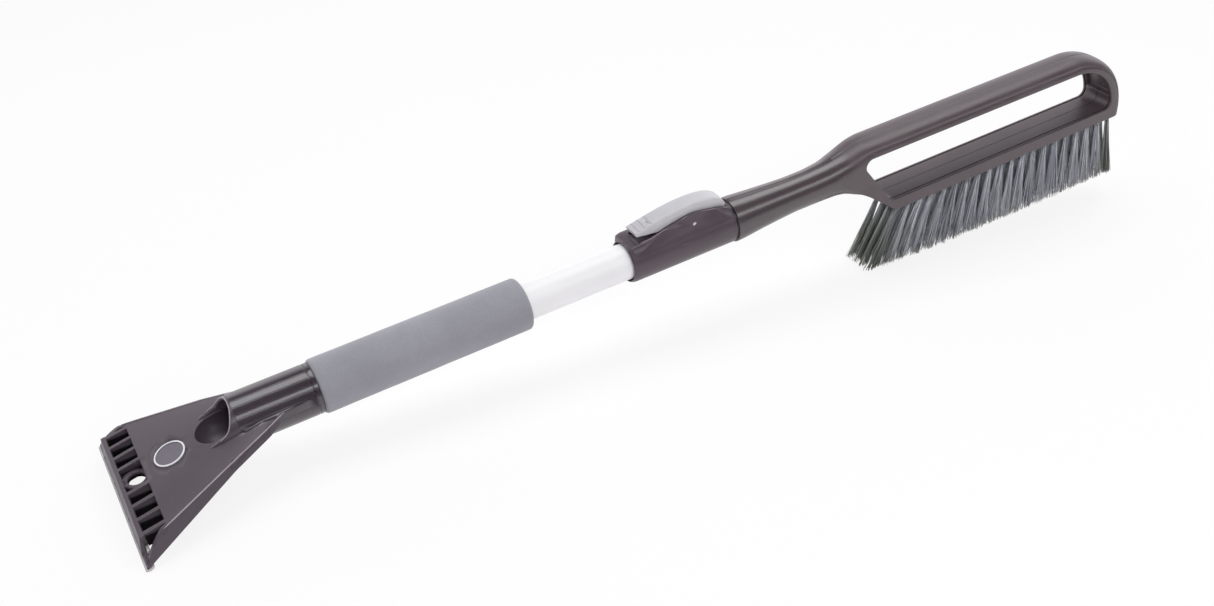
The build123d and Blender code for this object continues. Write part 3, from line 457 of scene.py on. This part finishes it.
# ---- brush frame -----------------------------------------------------------------------
# One polypropylene moulding, parted along its middle: a neck whose spigot plugs into the
# collar, flaring into a long hand loop.  The loop's lower bar is the block for the bristles.
neck_x, cut_x, far_x = 267.1, 346.0, 595.0
loop_half, bar_top, bar_under, block_top, block_under = 13.2, 19.6, 11.2, -26.4, -35.5
end_x, end_z, end_r, gap_end_x, gap_end_z, gap_end_r = 545.0, -30.4, 50.0, 544.5, -26.8, 38.0
neck_r = 14.0
spigot_x, spigot_r, seat_x, seat_r = 257.05, 12.5, 289.9, 11.35


def flowing(points, reach, low=-1e9):
    """A line of x: straight runs between points, averaged over reach with a raised-cosine
    weight so that their corners flow, and then held above low."""
    x = np.arange(neck_x - 30, far_x + 30, 0.5)
    weight = np.hanning(2 * int(reach) + 1)
    value = np.pad(np.interp(x, *np.transpose(points)), int(reach), mode="edge")
    value = np.maximum(np.convolve(value, weight / weight.sum(), "valid"), low)
    return lambda at: np.interp(at, x, value)


neck = [(neck_x, neck_r), (271.5, neck_r), (285.4, 12.95), (299.3, 12.1), (313.5, 11.4),
        (327.9, 11.45)]
width_at = flowing(neck + [(341.1, 12.0), (353.5, 12.9), (364.1, 13.15), (372.0, loop_half)], 9)
top_at = flowing(neck + [(341.1, 12.5), (353.5, 15.5), (364.1, 18.9), (372.0, bar_top)], 9)
under_at = flowing([(x, -r) for x, r in neck] + [(341.1, -11.5), (353.5, -11.7), (364.1, -14.2),
                   (372.0, -20.0), (390.3, block_under), (400.0, -43.7)], 14, low=block_under)
# the back's dome springs from this height, with this power: 2 is an ellipse
spring_at = flowing([(327.9, 0.0), (341.1, 0.6), (353.5, 5.0), (364.1, 9.0),
                     (372.0, bar_under)], 9)
power_at = flowing([(327.9, 2.0), (341.1, 2.1), (353.5, 2.3), (372.0, 2.6)], 9)
# the underside's rounding: its height, and its share of the half width
round_at = flowing([(327.9, 11.45), (344.0, 11.7), (357.0, 5.0), (366.0, 1.8), (374.0, 0.8)], 6)
share_at = flowing([(350.0, 1.0), (357.0, 0.5), (366.0, 0.13), (374.0, 0.06)], 3)


def loop_width(x, z):
    """Half width of the frame at a place in its side view: the full half width, narrowed
    under the back by a dome, (1 - q ** p) ** (1 / p) with q the share of the dome's height,
    and over the underside by a rounding, with a groove 4.9 mm inside the back's line."""
    below = np.where(x < end_x, top_at(x) - z, end_r - np.hypot(x - end_x, z - end_z))
    below = np.where((x > end_x) & (z < end_z), far_x - x, below)
    height = np.where(x < end_x, top_at(x) - spring_at(x), bar_top - bar_under)
    q = np.clip(1 - below / height, 0, 1)
    width = width_at(x) * (1 - q ** power_at(x)) ** (1 / power_at(x))
    q = np.clip(1 - (z - under_at(x)) / round_at(x), 0, 1)
    width = width - share_at(x) * width_at(x) * (1 - np.sqrt(1 - q ** 2))
    groove = np.clip((0.45 - np.abs(below - 4.9)) / 0.12, 0, 1) * 0.5
    groove = groove * np.clip((x - 366) / 8, 0, 1) * np.clip((z + 33.5) / 2, 0, 1)
    return np.maximum(width - groove, 0)


def bend(x, z, r, a, b, count):
    """Points on an arc about (x, z), from a to b degrees."""
    a = np.radians(np.linspace(a, b, count))
    return np.stack([x + r * np.cos(a), z + r * np.sin(a)], -1)


def spaced(*corners, count):
    """Points evenly spaced along a broken line."""
    corners = np.asarray(corners, float)
    run = np.append(0, np.cumsum(np.linalg.norm(np.diff(corners, axis=0), axis=1)))
    at = np.linspace(0, run[-1], count)
    return np.stack([np.interp(at, run, corners[:, k]) for k in (0, 1)], -1)


def contour(line, a, b, count):
    """Points on one of the frame's lines, from x = a to x = b."""
    x = np.linspace(a, b, count)
    return np.stack([x, line(x)], -1)


# the gap's outline and, point for point, the frame's: the block, its far corner, the end,
# the bar, the bar's near corner, a cut across the neck, and the web under the cut
cuts = 46
middle_z, half_z = (top_at(cut_x) + under_at(cut_x)) / 2, (top_at(cut_x) - under_at(cut_x)) / 2
cut_z = middle_z + half_z * np.cos(np.linspace(0, np.pi, cuts))
inner, outer = zip(
    (bend(389.22, -20.4, 6.0, 215, 270, 12), np.concatenate([contour(under_at, 383.0, 390.3, 9),
                                                    contour(under_at, 391.5, 394.0, 3)])),
    (spaced((389.22, block_top), (577.06, block_top), count=96),
     spaced((394.0, block_under), (583.0, block_under), count=96)),
    (bend(577.06, -21.4, 5.0, 270, 369.42, 30),
     spaced((583.0, block_under), (far_x, block_under), (far_x, end_z), count=30)),
    (bend(gap_end_x, gap_end_z, gap_end_r, 9.42, 90, 60), bend(end_x, end_z, end_r, 0, 90, 60)),
    (spaced((gap_end_x, bar_under), (369.3, bar_under), count=88),
     spaced((end_x, bar_top), (376.0, bar_top), count=88)),
    (bend(369.3, 6.2, 5.0, 90, 215, 34), contour(top_at, 376.0, cut_x + 0.4, 34)),
    (spaced((365.2, 3.33), (377.4, -14.0), count=cuts),
     np.stack([np.full(cuts, cut_x), cut_z], -1)),
    (spaced((377.4, -14.0), (384.3, -23.85), count=40),
     contour(under_at, cut_x + 0.4, 383.0, 40)),
)
at_cut = np.repeat([0, 0, 0, 0, 0, 0, 1, 0], [len(part) for part in inner]).astype(bool)
inner, outer = np.concatenate(inner), np.concatenate(outer)
fresh = np.abs(np.diff(inner, axis=0)).sum(1) + np.abs(np.diff(outer, axis=0)).sum(1) > 1e-3
fresh = np.append(True, fresh)
inner, outer, at_cut = inner[fresh], outer[fresh], at_cut[fresh]
reach = np.linalg.norm(outer - inner, axis=1, keepdims=True)
ray = (outer - inner) / reach

# the gap's wall, from the middle to the side: a parting line, a deep dish round the end,
# and a groove beside the flat rim
parting_depth, groove_depth, groove_y, dish_depth = 0.4, 1.4, 11.0, 4.6
wall_y = np.array([0, 0.25, 2.5, 5, 7.5, 9.4, 10.2, 10.45, 10.55, 11.0, 11.45, 11.55, 12.0])
in_groove = np.abs(wall_y - groove_y) < 0.5
wall_depth = np.where(wall_y == 0, parting_depth, np.where(in_groove, groove_depth, 0.0))
turn = np.degrees(np.arctan2(inner[:, 1:] - gap_end_z, inner[:, :1] - gap_end_x))
dish = dish_depth * np.clip((turn - 14) / 6, 0, 1) * np.clip((96 - turn) / 8, 0, 1)
dish = dish * np.clip((inner[:, 1:] + 25) / 6, 0, 1) * (inner[:, :1] > 538)
depth = np.maximum(wall_depth, dish * np.clip((10.7 - wall_y) / 0.4, 0, 1))
edge_y = loop_width(inner[:, :1], inner[:, 1:])
wall = np.stack([inner[:, :1] + ray[:, :1] * depth, wall_y * edge_y / loop_half,
                 inner[:, 1:] + ray[:, 1:] * depth], -1)
# the side: close steps over the wall's rounded edge, then steps that shrink towards the
# back, where the dome turns fastest
ease = 0.8
step = np.array([0, 0.08, 0.2, 0.36, 0.6, 0.9])
far_step = 1.2 + (reach - 1.2) * (1 - (1 - np.linspace(0, 1, 54)) ** 2.2)
step = np.concatenate([np.repeat(step[None], len(reach), 0), far_step], 1)
x, z = inner[:, :1] + ray[:, :1] * step, inner[:, 1:] + ray[:, 1:] * step
drop = ease * (1 - np.sqrt(1 - np.clip(1 - step / ease, 0, 1) ** 2))
side = np.stack([x, loop_width(x, z) - drop, z], -1)
side[:, :, 1] = np.maximum(side[:, :, 1], 0)
crowned = side[:, -1:, 1] < 1e-3
side[:, -1, 0::2] -= ray * 0.3 * crowned
# the neck: every point of the cut runs on to the collar at its own share of the height
x = np.append(np.linspace(cut_x, neck_x + 0.4, 48)[1:], neck_x)
over = outer[:, 1:] > spring_at(cut_x)
share = np.where(over, (outer[:, 1:] - spring_at(cut_x)) / (top_at(cut_x) - spring_at(cut_x)),
                 (outer[:, 1:] - spring_at(cut_x)) / (spring_at(cut_x) - under_at(cut_x)))
z = spring_at(x) + share * np.where(over, top_at(x) - spring_at(x), spring_at(x) - under_at(x))
x = np.broadcast_to(x, z.shape)
run = np.stack([x, loop_width(x, z), z], -1)
run[:, :-1, 2] -= 0.25 * share * (np.abs(share) > 0.999)
run[:, -1, 1:] *= 1 - 0.4 / neck_r
run = np.where(at_cut[:, None, None], run, side[:, -1:])
# the collar's end: a shoulder, the spigot, and the tube's seat in it; elsewhere the flat
# underside of the block
spoke = np.stack([loop_width(neck_x + 0 * z[:, -1], z[:, -1]), z[:, -1]], -1) / neck_r
rim_x = np.array([neck_x, spigot_x + 0.5, spigot_x, spigot_x, seat_x, seat_x])
rim_r = np.array([spigot_r, spigot_r, spigot_r - 0.5, seat_r, seat_r, 0.0])
close = np.stack([np.broadcast_to(rim_x, (len(spoke), 6)), spoke[:, :1] * rim_r,
                  spoke[:, 1:] * rim_r], -1)
flat = np.repeat(side[:, -1:], 6, 1) * [1, 0, 1]
flat[:, :, 1] = side[:, -1:, 1] * [0.8, 0.6, 0.4, 0.2, 0.05, 0]
close = np.where(at_cut[:, None, None], close, flat)
half = np.concatenate([wall, side, run, close], 1)
section = np.concatenate([half, half[:, -2:0:-1] * [1, -1, 1]], 1)
# no quads where the neck leaves the loop's own sections
both = at_cut & np.roll(at_cut, -1)
neither = ~at_cut & ~np.roll(at_cut, -1)
columns = np.repeat([0, 1, 2], [wall.shape[1] + side.shape[1] - 1, run.shape[1], 6])
columns = np.concatenate([columns, columns[::-1]])
keep = (columns == 0) | ((columns == 1) & both[:, None])
keep = keep | ((columns == 2) & (both | neither)[:, None])
loop_plastic = moulded("loop_polypropylene_charcoal", "#483d42", "#53484d", 0.37,
                       polish=(385.0, 340.0, 0.26, 0.72), seam=330.0)
loop = shell("brush_loop_frame", section, loop_plastic, wrap=(True, True), keep=keep)
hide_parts("brush_frame")
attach(loop, "brush")

# ---- joint ring, collar and its bush ---------------------------------------------------
# The collar is a separate moulding pinned on the brush's neck over a black ring; its mouth
# holds a black bush in which the tube slides, and its cheeks carry the lever's pin.
black = moulded("moulded_acetal_black", "#151416", "#1d1b1e", 0.35)
crisp("lock_collar", "lock_collar_body", charcoal, "brush")
# the upper edges of its cheeks are rounded over beside the lever, pale with painted highlight
cheek = [(200.8, 14.1), (208.7, 14.9), (218.7, 17.3), (232.3, 20.0), (237.9, 20.5),
         (244.4, 19.7), (253.8, 17.9), (260.0, 15.9)]
cheek_y, cheek_sunk, cheek_r = 7.8, 0.15, 0.3
for name, way in (("cheek_edge_near", -1), ("cheek_edge_far", 1)):
    rim = bead(name, [(x, way * cheek_y, z - cheek_sunk) for x, z in cheek], cheek_r, edge_highlight_paint)
    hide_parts("lock_collar")
    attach(rim, "brush")
dress("joint_ring", black)
dress("mouth_bush", black)

# ---- lock lever and its brake pad ------------------------------------------------------
# A silver-grey ABS rocker that turns on the cross pin: pressing its finger end lifts the
# nitrile rubber pad, held under its short arm, off the tube.
silver = moulded("moulded_abs_silver_grey", "#b6b5ba", "#c2c1c6", 0.28, edge=0.12)
crisp("lock_lever", "rocker_lever", silver, "lever", sharp=11)
rubber = moulded("nitrile_rubber_black", "#0f0f10", "#171718", 0.7)
dress("brake_pad", rubber)

# ---- lever spring ----------------------------------------------------------------------
# A zinc-plated wire spring under the finger arm.  It stands on the collar, and in use it
# shortens as the arm comes down on it; here its foot, rise and the lever's largest turn
# are worked out, and its shape stays as it is.
spring = crisp("lever_spring", "finger_arm_spring", zinc, "brush", sharp=60)
points = np.array([vertex.co for vertex in spring.data.vertices])
rise = (points - tool_zero) @ up_from_tube
foot = points.mean(0) - (points.mean(0) - tool_zero) @ up_from_tube * up_from_tube
foot = foot + rise.min() * up_from_tube
turn = max(abs(radians(end)) for end in joints["lever_rock"]["range_deg"])
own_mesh(spring)

# ---- bristles --------------------------------------------------------------------------
# Four rows of twenty tufts, each a bundle of nylon filaments folded over a wire into its
# hole: blue grey, a little crimped, cut by hand so that the ends are uneven.
rows, tufts, filaments, rings, sides = 4, 20, 84, 6, 3
row_pitch, tuft_pitch, first_tuft_x, under_z = 6.1, 10.0, 395.0, -35.5
filament_r, hole_r, sunk = 0.21, 1.25, 0.6
first_length, longer_at_end, ragged, row_half = 47.2, 3.5, 2.4, 2.7


def tuft_lean(run):
    """Lean of a tuft in radians: the sum of a lean towards the handle that dies away
    along the row and one away from it that grows with the square of the distance."""
    share = run / (tuft_pitch * (tufts - 1))
    return np.radians(11.0 * share ** 2 - 24.5 * np.exp(-run / 58.0))


def filament_rows(row, chance):
    """Centre lines of one row's filaments: from a place in the tuft's hole, out along the
    tuft's lean, spreading towards the tip, with a slow bend and a slight crimp."""
    run = np.repeat(np.arange(tufts) * tuft_pitch, filaments)
    count = run.size
    turn = chance.uniform(0, 2 * np.pi, count)
    out = np.sqrt(chance.uniform(0, 1, count))
    rx, ry = out * np.cos(turn), out * np.sin(turn)
    lean = tuft_lean(run) + chance.normal(0, 0.034, count) * ((run > 5) & (run < 185))
    # one filament in thirty strays, but not at the row's ends
    stray = (chance.uniform(0, 1, count) < 0.033) & (run > 25) & (run < 165)
    lean = lean + stray * chance.normal(0, 0.13, count)
    share = run / (tuft_pitch * (tufts - 1))
    length = (first_length + longer_at_end * share - 0.2
              - ragged * chance.uniform(0, 1, count) ** 2)
    t = np.linspace(0, 1, rings)[None, :]
    spread_x = hole_r + (4.4 - 1.8 * (run > 185))[:, None] * t
    spread_y = hole_r + 1.1 * t
    bend_x = chance.normal(0, 0.9, count)[:, None] * t ** 2
    bend_y = chance.normal(0, 0.35, count)[:, None] * t ** 2
    crimp = 0.16 * np.sin(2 * np.pi * (chance.uniform(0, 1, count)[:, None] + 2.3 * t))
    x = first_tuft_x + run[:, None] + rx[:, None] * spread_x + bend_x + crimp
    x = x + length[:, None] * t * np.sin(lean)[:, None]
    y_row = (row - (rows - 1) / 2) * row_pitch
    y = y_row + np.clip(ry[:, None] * spread_y + bend_y, -row_half, row_half) + 0.6 * crimp
    # the tips are cut to one line, so each tuft's own lean sets how far down they reach
    z = under_z + sunk - (length[:, None] + sunk) * t * np.cos(tuft_lean(run))[:, None]
    return np.stack([x, y, z], -1)


nylon, tree = finish_named("nylon_filament_blue_grey")
chart = add(tree, "UVMap", {"uv_map": "filament"}).outputs["UV"]
parts_of = add(tree, "SeparateXYZ", vector=chart)
each, along = parts_of.outputs["X"], parts_of.outputs["Y"]
dye = add(tree, "ValToRGB", fac=each)
dye.color_ramp.interpolation = "LINEAR"
for stop, code in ((0.15, "#7a7e87"), (0.35, "#bfc3ce"), (0.6, "#e2e5ee"), (0.8, "#979ba5"),
                   (0.93, "#f7f8fa")):
    dye.color_ramp.elements.new(stop).color = linear(code)
dye.color_ramp.elements[0].color = linear("#565852")
dye.color_ramp.elements[-1].color = linear("#fdfdf8")
tip = add(tree, "MapRange", value=along, from_min=0.9, from_max=1.0, to_min=0.0, to_max=0.35)
tint = add(tree, "Mix", {"data_type": "RGBA"}, _0=tip.outputs["Result"],
           _6=dye.outputs["Color"], _7=linear("#b6b49a"))
# painted shade: the filaments darken towards their roots, where the tufts crowd under the block
root_shade = add(tree, "MapRange", value=along, from_min=0.0, from_max=0.16, to_min=0.4, to_max=0.0)
tint = add(tree, "Mix", {"data_type": "RGBA"}, _0=root_shade.outputs["Result"], _6=tint.outputs[2],
           _7=linear("#2c2f33"))
# the outer tufts at both ends are splayed thin, and look darker and greener
place = add(tree, "VectorMath", {"operation": "DOT_PRODUCT"},
            _0=add(tree, "TexCoord").outputs["Object"], _1=along_tube.tolist()).outputs["Value"]
start = (tool_zero @ along_tube) + 0.380
low = add(tree, "MapRange", value=place, from_min=start, from_max=start + 0.022, to_min=1.0,
          to_max=0.0)
high = add(tree, "MapRange", value=place, from_min=start + 0.196, from_max=start + 0.212)
outer_tuft = add(tree, "Math", {"operation": "MAXIMUM"}, _0=low.outputs["Result"],
                 _1=high.outputs["Result"])
tint = add(tree, "Mix", {"data_type": "RGBA", "blend_type": "MULTIPLY"},
           _0=outer_tuft.outputs["Value"], _6=tint.outputs[2], _7=linear("#a5a898"))
skin = add(tree, "BsdfPrincipled", base_color=tint.outputs[2], ior=1.53, roughness=0.42)
add(tree, "OutputMaterial", surface=skin.outputs["BSDF"])

chance = np.random.default_rng(41)
for row in range(rows):
    lines = filament_rows(row, chance)
    count = lines.shape[0]
    ahead = np.gradient(lines, axis=1)
    ahead /= np.linalg.norm(ahead, axis=-1, keepdims=True)
    side = np.cross(ahead, [0.0, 1.0, 0.0])
    side /= np.linalg.norm(side, axis=-1, keepdims=True)
    other = np.cross(ahead, side)
    a = np.arange(sides) * 2 * np.pi / sides
    thick = filament_r * np.linspace(1.0, 0.8, rings)[None, :, None, None]
    ring = lines[:, :, None] + thick * (side[:, :, None] * np.cos(a)[:, None]
                                        + other[:, :, None] * np.sin(a)[:, None])
    f, k, s = np.meshgrid(np.arange(count), np.arange(rings - 1), np.arange(sides),
                          indexing="ij")
    low = (f * rings + k) * sides
    s1 = (s + 1) % sides
    quads = np.stack([low + s, low + s1, low + sides + s1, low + sides + s], -1).reshape(-1, 4)
    first = np.arange(count) * rings * sides
    caps = np.stack([first + 2, first + 1, first], -1)
    last = first + (rings - 1) * sides
    ends = np.stack([last, last + 1, last + 2], -1)
    faces = quads.tolist() + caps.tolist() + ends.tolist()
    mesh = bpy.data.meshes.new(f"bristle_tufts_{row + 1}")
    mesh.from_pydata(placed(ring.reshape(-1, 3)).tolist(), [], faces)
    each_filament = chance.uniform(0, 1, count)
    corner = np.empty(len(mesh.loops), np.int32)
    mesh.loops.foreach_get("vertex_index", corner)
    chart = mesh.uv_layers.new(name="filament")
    u = each_filament[corner // (rings * sides)]
    v = (corner // sides % rings) / (rings - 1)
    chart.data.foreach_set("uv", np.stack([u, v], -1).ravel())
    form = bmesh.new()
    form.from_mesh(mesh)
    bmesh.ops.recalc_face_normals(form, faces=form.faces)
    form.to_mesh(mesh)
    form.free()
    mesh.shade_smooth()
    mesh.materials.append(nylon)
    tuft_row = bpy.data.objects.new(f"bristle_tufts_{row + 1}", mesh)
    bpy.context.scene.collection.objects.link(tuft_row)
    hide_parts(f"bristle_row_{row + 1}")
    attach(tuft_row, "brush")

# ---- floor -----------------------------------------------------------------------------
# A seamless white paper sweep under the tool.  Seen directly it is mixed with an even
# glow, so that it stays near white and keeps its soft shadow.
ground = bpy.data.meshes.new("floor")
reach = 30.0
corners = [(-reach, -reach, 0), (reach, -reach, 0), (reach, reach, 0), (-reach, reach, 0)]
ground.from_pydata(corners, [], [(0, 1, 2, 3)])
floor = bpy.data.objects.new("floor", ground)
bpy.context.scene.collection.objects.link(floor)
paper, tree = finish_named("white_paper_sweep")
seen = add(tree, "LightPath")
matt = add(tree, "BsdfDiffuse", color=linear("#f4f0f2"))
glow = add(tree, "Emission", color=(1.0, 1.0, 1.0, 1.0), strength=1.0)
blend = add(tree, "MixShader", _0=0.84, _1=matt.outputs["BSDF"], _2=glow.outputs["Emission"])
direct = add(tree, "Math", {"operation": "MAXIMUM"}, _0=seen.outputs["Is Camera Ray"],
             _1=seen.outputs["Is Glossy Ray"])
direct = add(tree, "Math", {"operation": "MAXIMUM"}, _0=direct.outputs["Value"],
             _1=seen.outputs["Is Transmission Ray"])
shown = add(tree, "MixShader", _0=direct.outputs["Value"], _1=matt.outputs["BSDF"],
            _2=blend.outputs["Shader"])
add(tree, "OutputMaterial", surface=shown.outputs["Shader"])
ground.materials.append(paper)

# ---- light -----------------------------------------------------------------------------
# A studio with a white backdrop behind the tool and a dim room before it.  A long soft box
# hangs over the tool and a narrow one stands before it: both draw bands along its tubes.
# A wide fill low in front lightens the near sides and draws none.
scene = bpy.context.scene
world = bpy.data.worlds.new("studio")
scene.world = world
world.use_nodes = True
tree = world.node_tree
tree.nodes.clear()
seen = add(tree, "LightPath")
facing = add(tree, "SeparateXYZ", vector=add(tree, "TexCoord").outputs["Generated"])
behind = add(tree, "MapRange", value=facing.outputs["Y"], from_min=-0.15, from_max=0.25)
low = add(tree, "MapRange", value=facing.outputs["Z"], from_min=0.4, from_max=0.72,
          to_min=1.0, to_max=0.0)
sheet = add(tree, "Math", {"operation": "MULTIPLY"}, _0=behind.outputs["Result"],
            _1=low.outputs["Result"])
bright = add(tree, "MapRange", value=sheet.outputs["Value"], to_min=0.09, to_max=1.5)
room = add(tree, "Background", color=linear("#f8f6fa"), strength=bright.outputs["Result"])
plain = add(tree, "Background", color=(1.0, 1.0, 1.0, 1.0), strength=1.0)
direct = add(tree, "Math", {"operation": "MAXIMUM"}, _0=seen.outputs["Is Camera Ray"],
             _1=seen.outputs["Is Transmission Ray"])
mixed = add(tree, "MixShader", _0=direct.outputs["Value"], _1=room.outputs["Background"],
            _2=plain.outputs["Background"])
add(tree, "OutputWorld", surface=mixed.outputs["Shader"])

middle = np.array([0.05, 0.0, 0.05])
for name, place, size, power in (
    ("overhead_box", (0.1, 0.33, 1.35), (2.4, 0.72), 17.0),
    ("front_box", (0.35, -1.1, 1.05), (3.2, 0.34), 11.0),
    ("front_fill", (-0.3, -1.5, 0.45), (1.8, 0.8), 6.5),
):
    lamp = bpy.data.lights.new(name, "AREA")
    lamp.shape = "RECTANGLE"
    lamp.size, lamp.size_y = size
    lamp.energy = power
    box = bpy.data.objects.new(name, lamp)
    # its own X along the tool and its face towards the tool's middle
    out = middle * [0, 1, 1] + [place[0], 0, 0] - np.array(place)
    out = out / np.linalg.norm(out)
    stand = np.eye(4)
    stand[:3, 0], stand[:3, 1], stand[:3, 2] = (1, 0, 0), np.cross(-out, (1, 0, 0)), -out
    stand[:3, 3] = place
    box.matrix_world = Matrix(stand.tolist())
    box.visible_glossy = name != "front_fill"
    scene.collection.objects.link(box)

# ---- camera ----------------------------------------------------------------------------
# The photograph's own view: place, turn and focal length in the photograph's pixels are
# fitted to the tool's outline.
focal_px, photo_px, sensor = 1291.87, 1214, 36.0
right = np.array([0.86245, -0.49997, -0.07888])
down = np.array([-0.36042, -0.49723, -0.78922])
forward = np.array([0.35536, 0.70908, -0.60903])
eye = placed([[-95.09, -548.32, 446.38]])[0]
turn = np.stack([along_tube, [0.0, 1.0, 0.0], up_from_tube], 1)
seat = np.eye(4)
seat[:3, 0], seat[:3, 1], seat[:3, 2] = turn @ right, -turn @ down, -turn @ forward
seat[:3, 3] = eye
lens = bpy.data.cameras.new("photo_view")
lens.sensor_fit = "HORIZONTAL"
lens.sensor_width = sensor
lens.lens = focal_px / photo_px * sensor
lens.clip_start, lens.clip_end = 0.01, 100.0
camera = bpy.data.objects.new("photo_view", lens)
camera.matrix_world = Matrix(seat.tolist())
scene.collection.objects.link(camera)
scene.camera = camera
scene.view_settings.view_transform = "Standard"
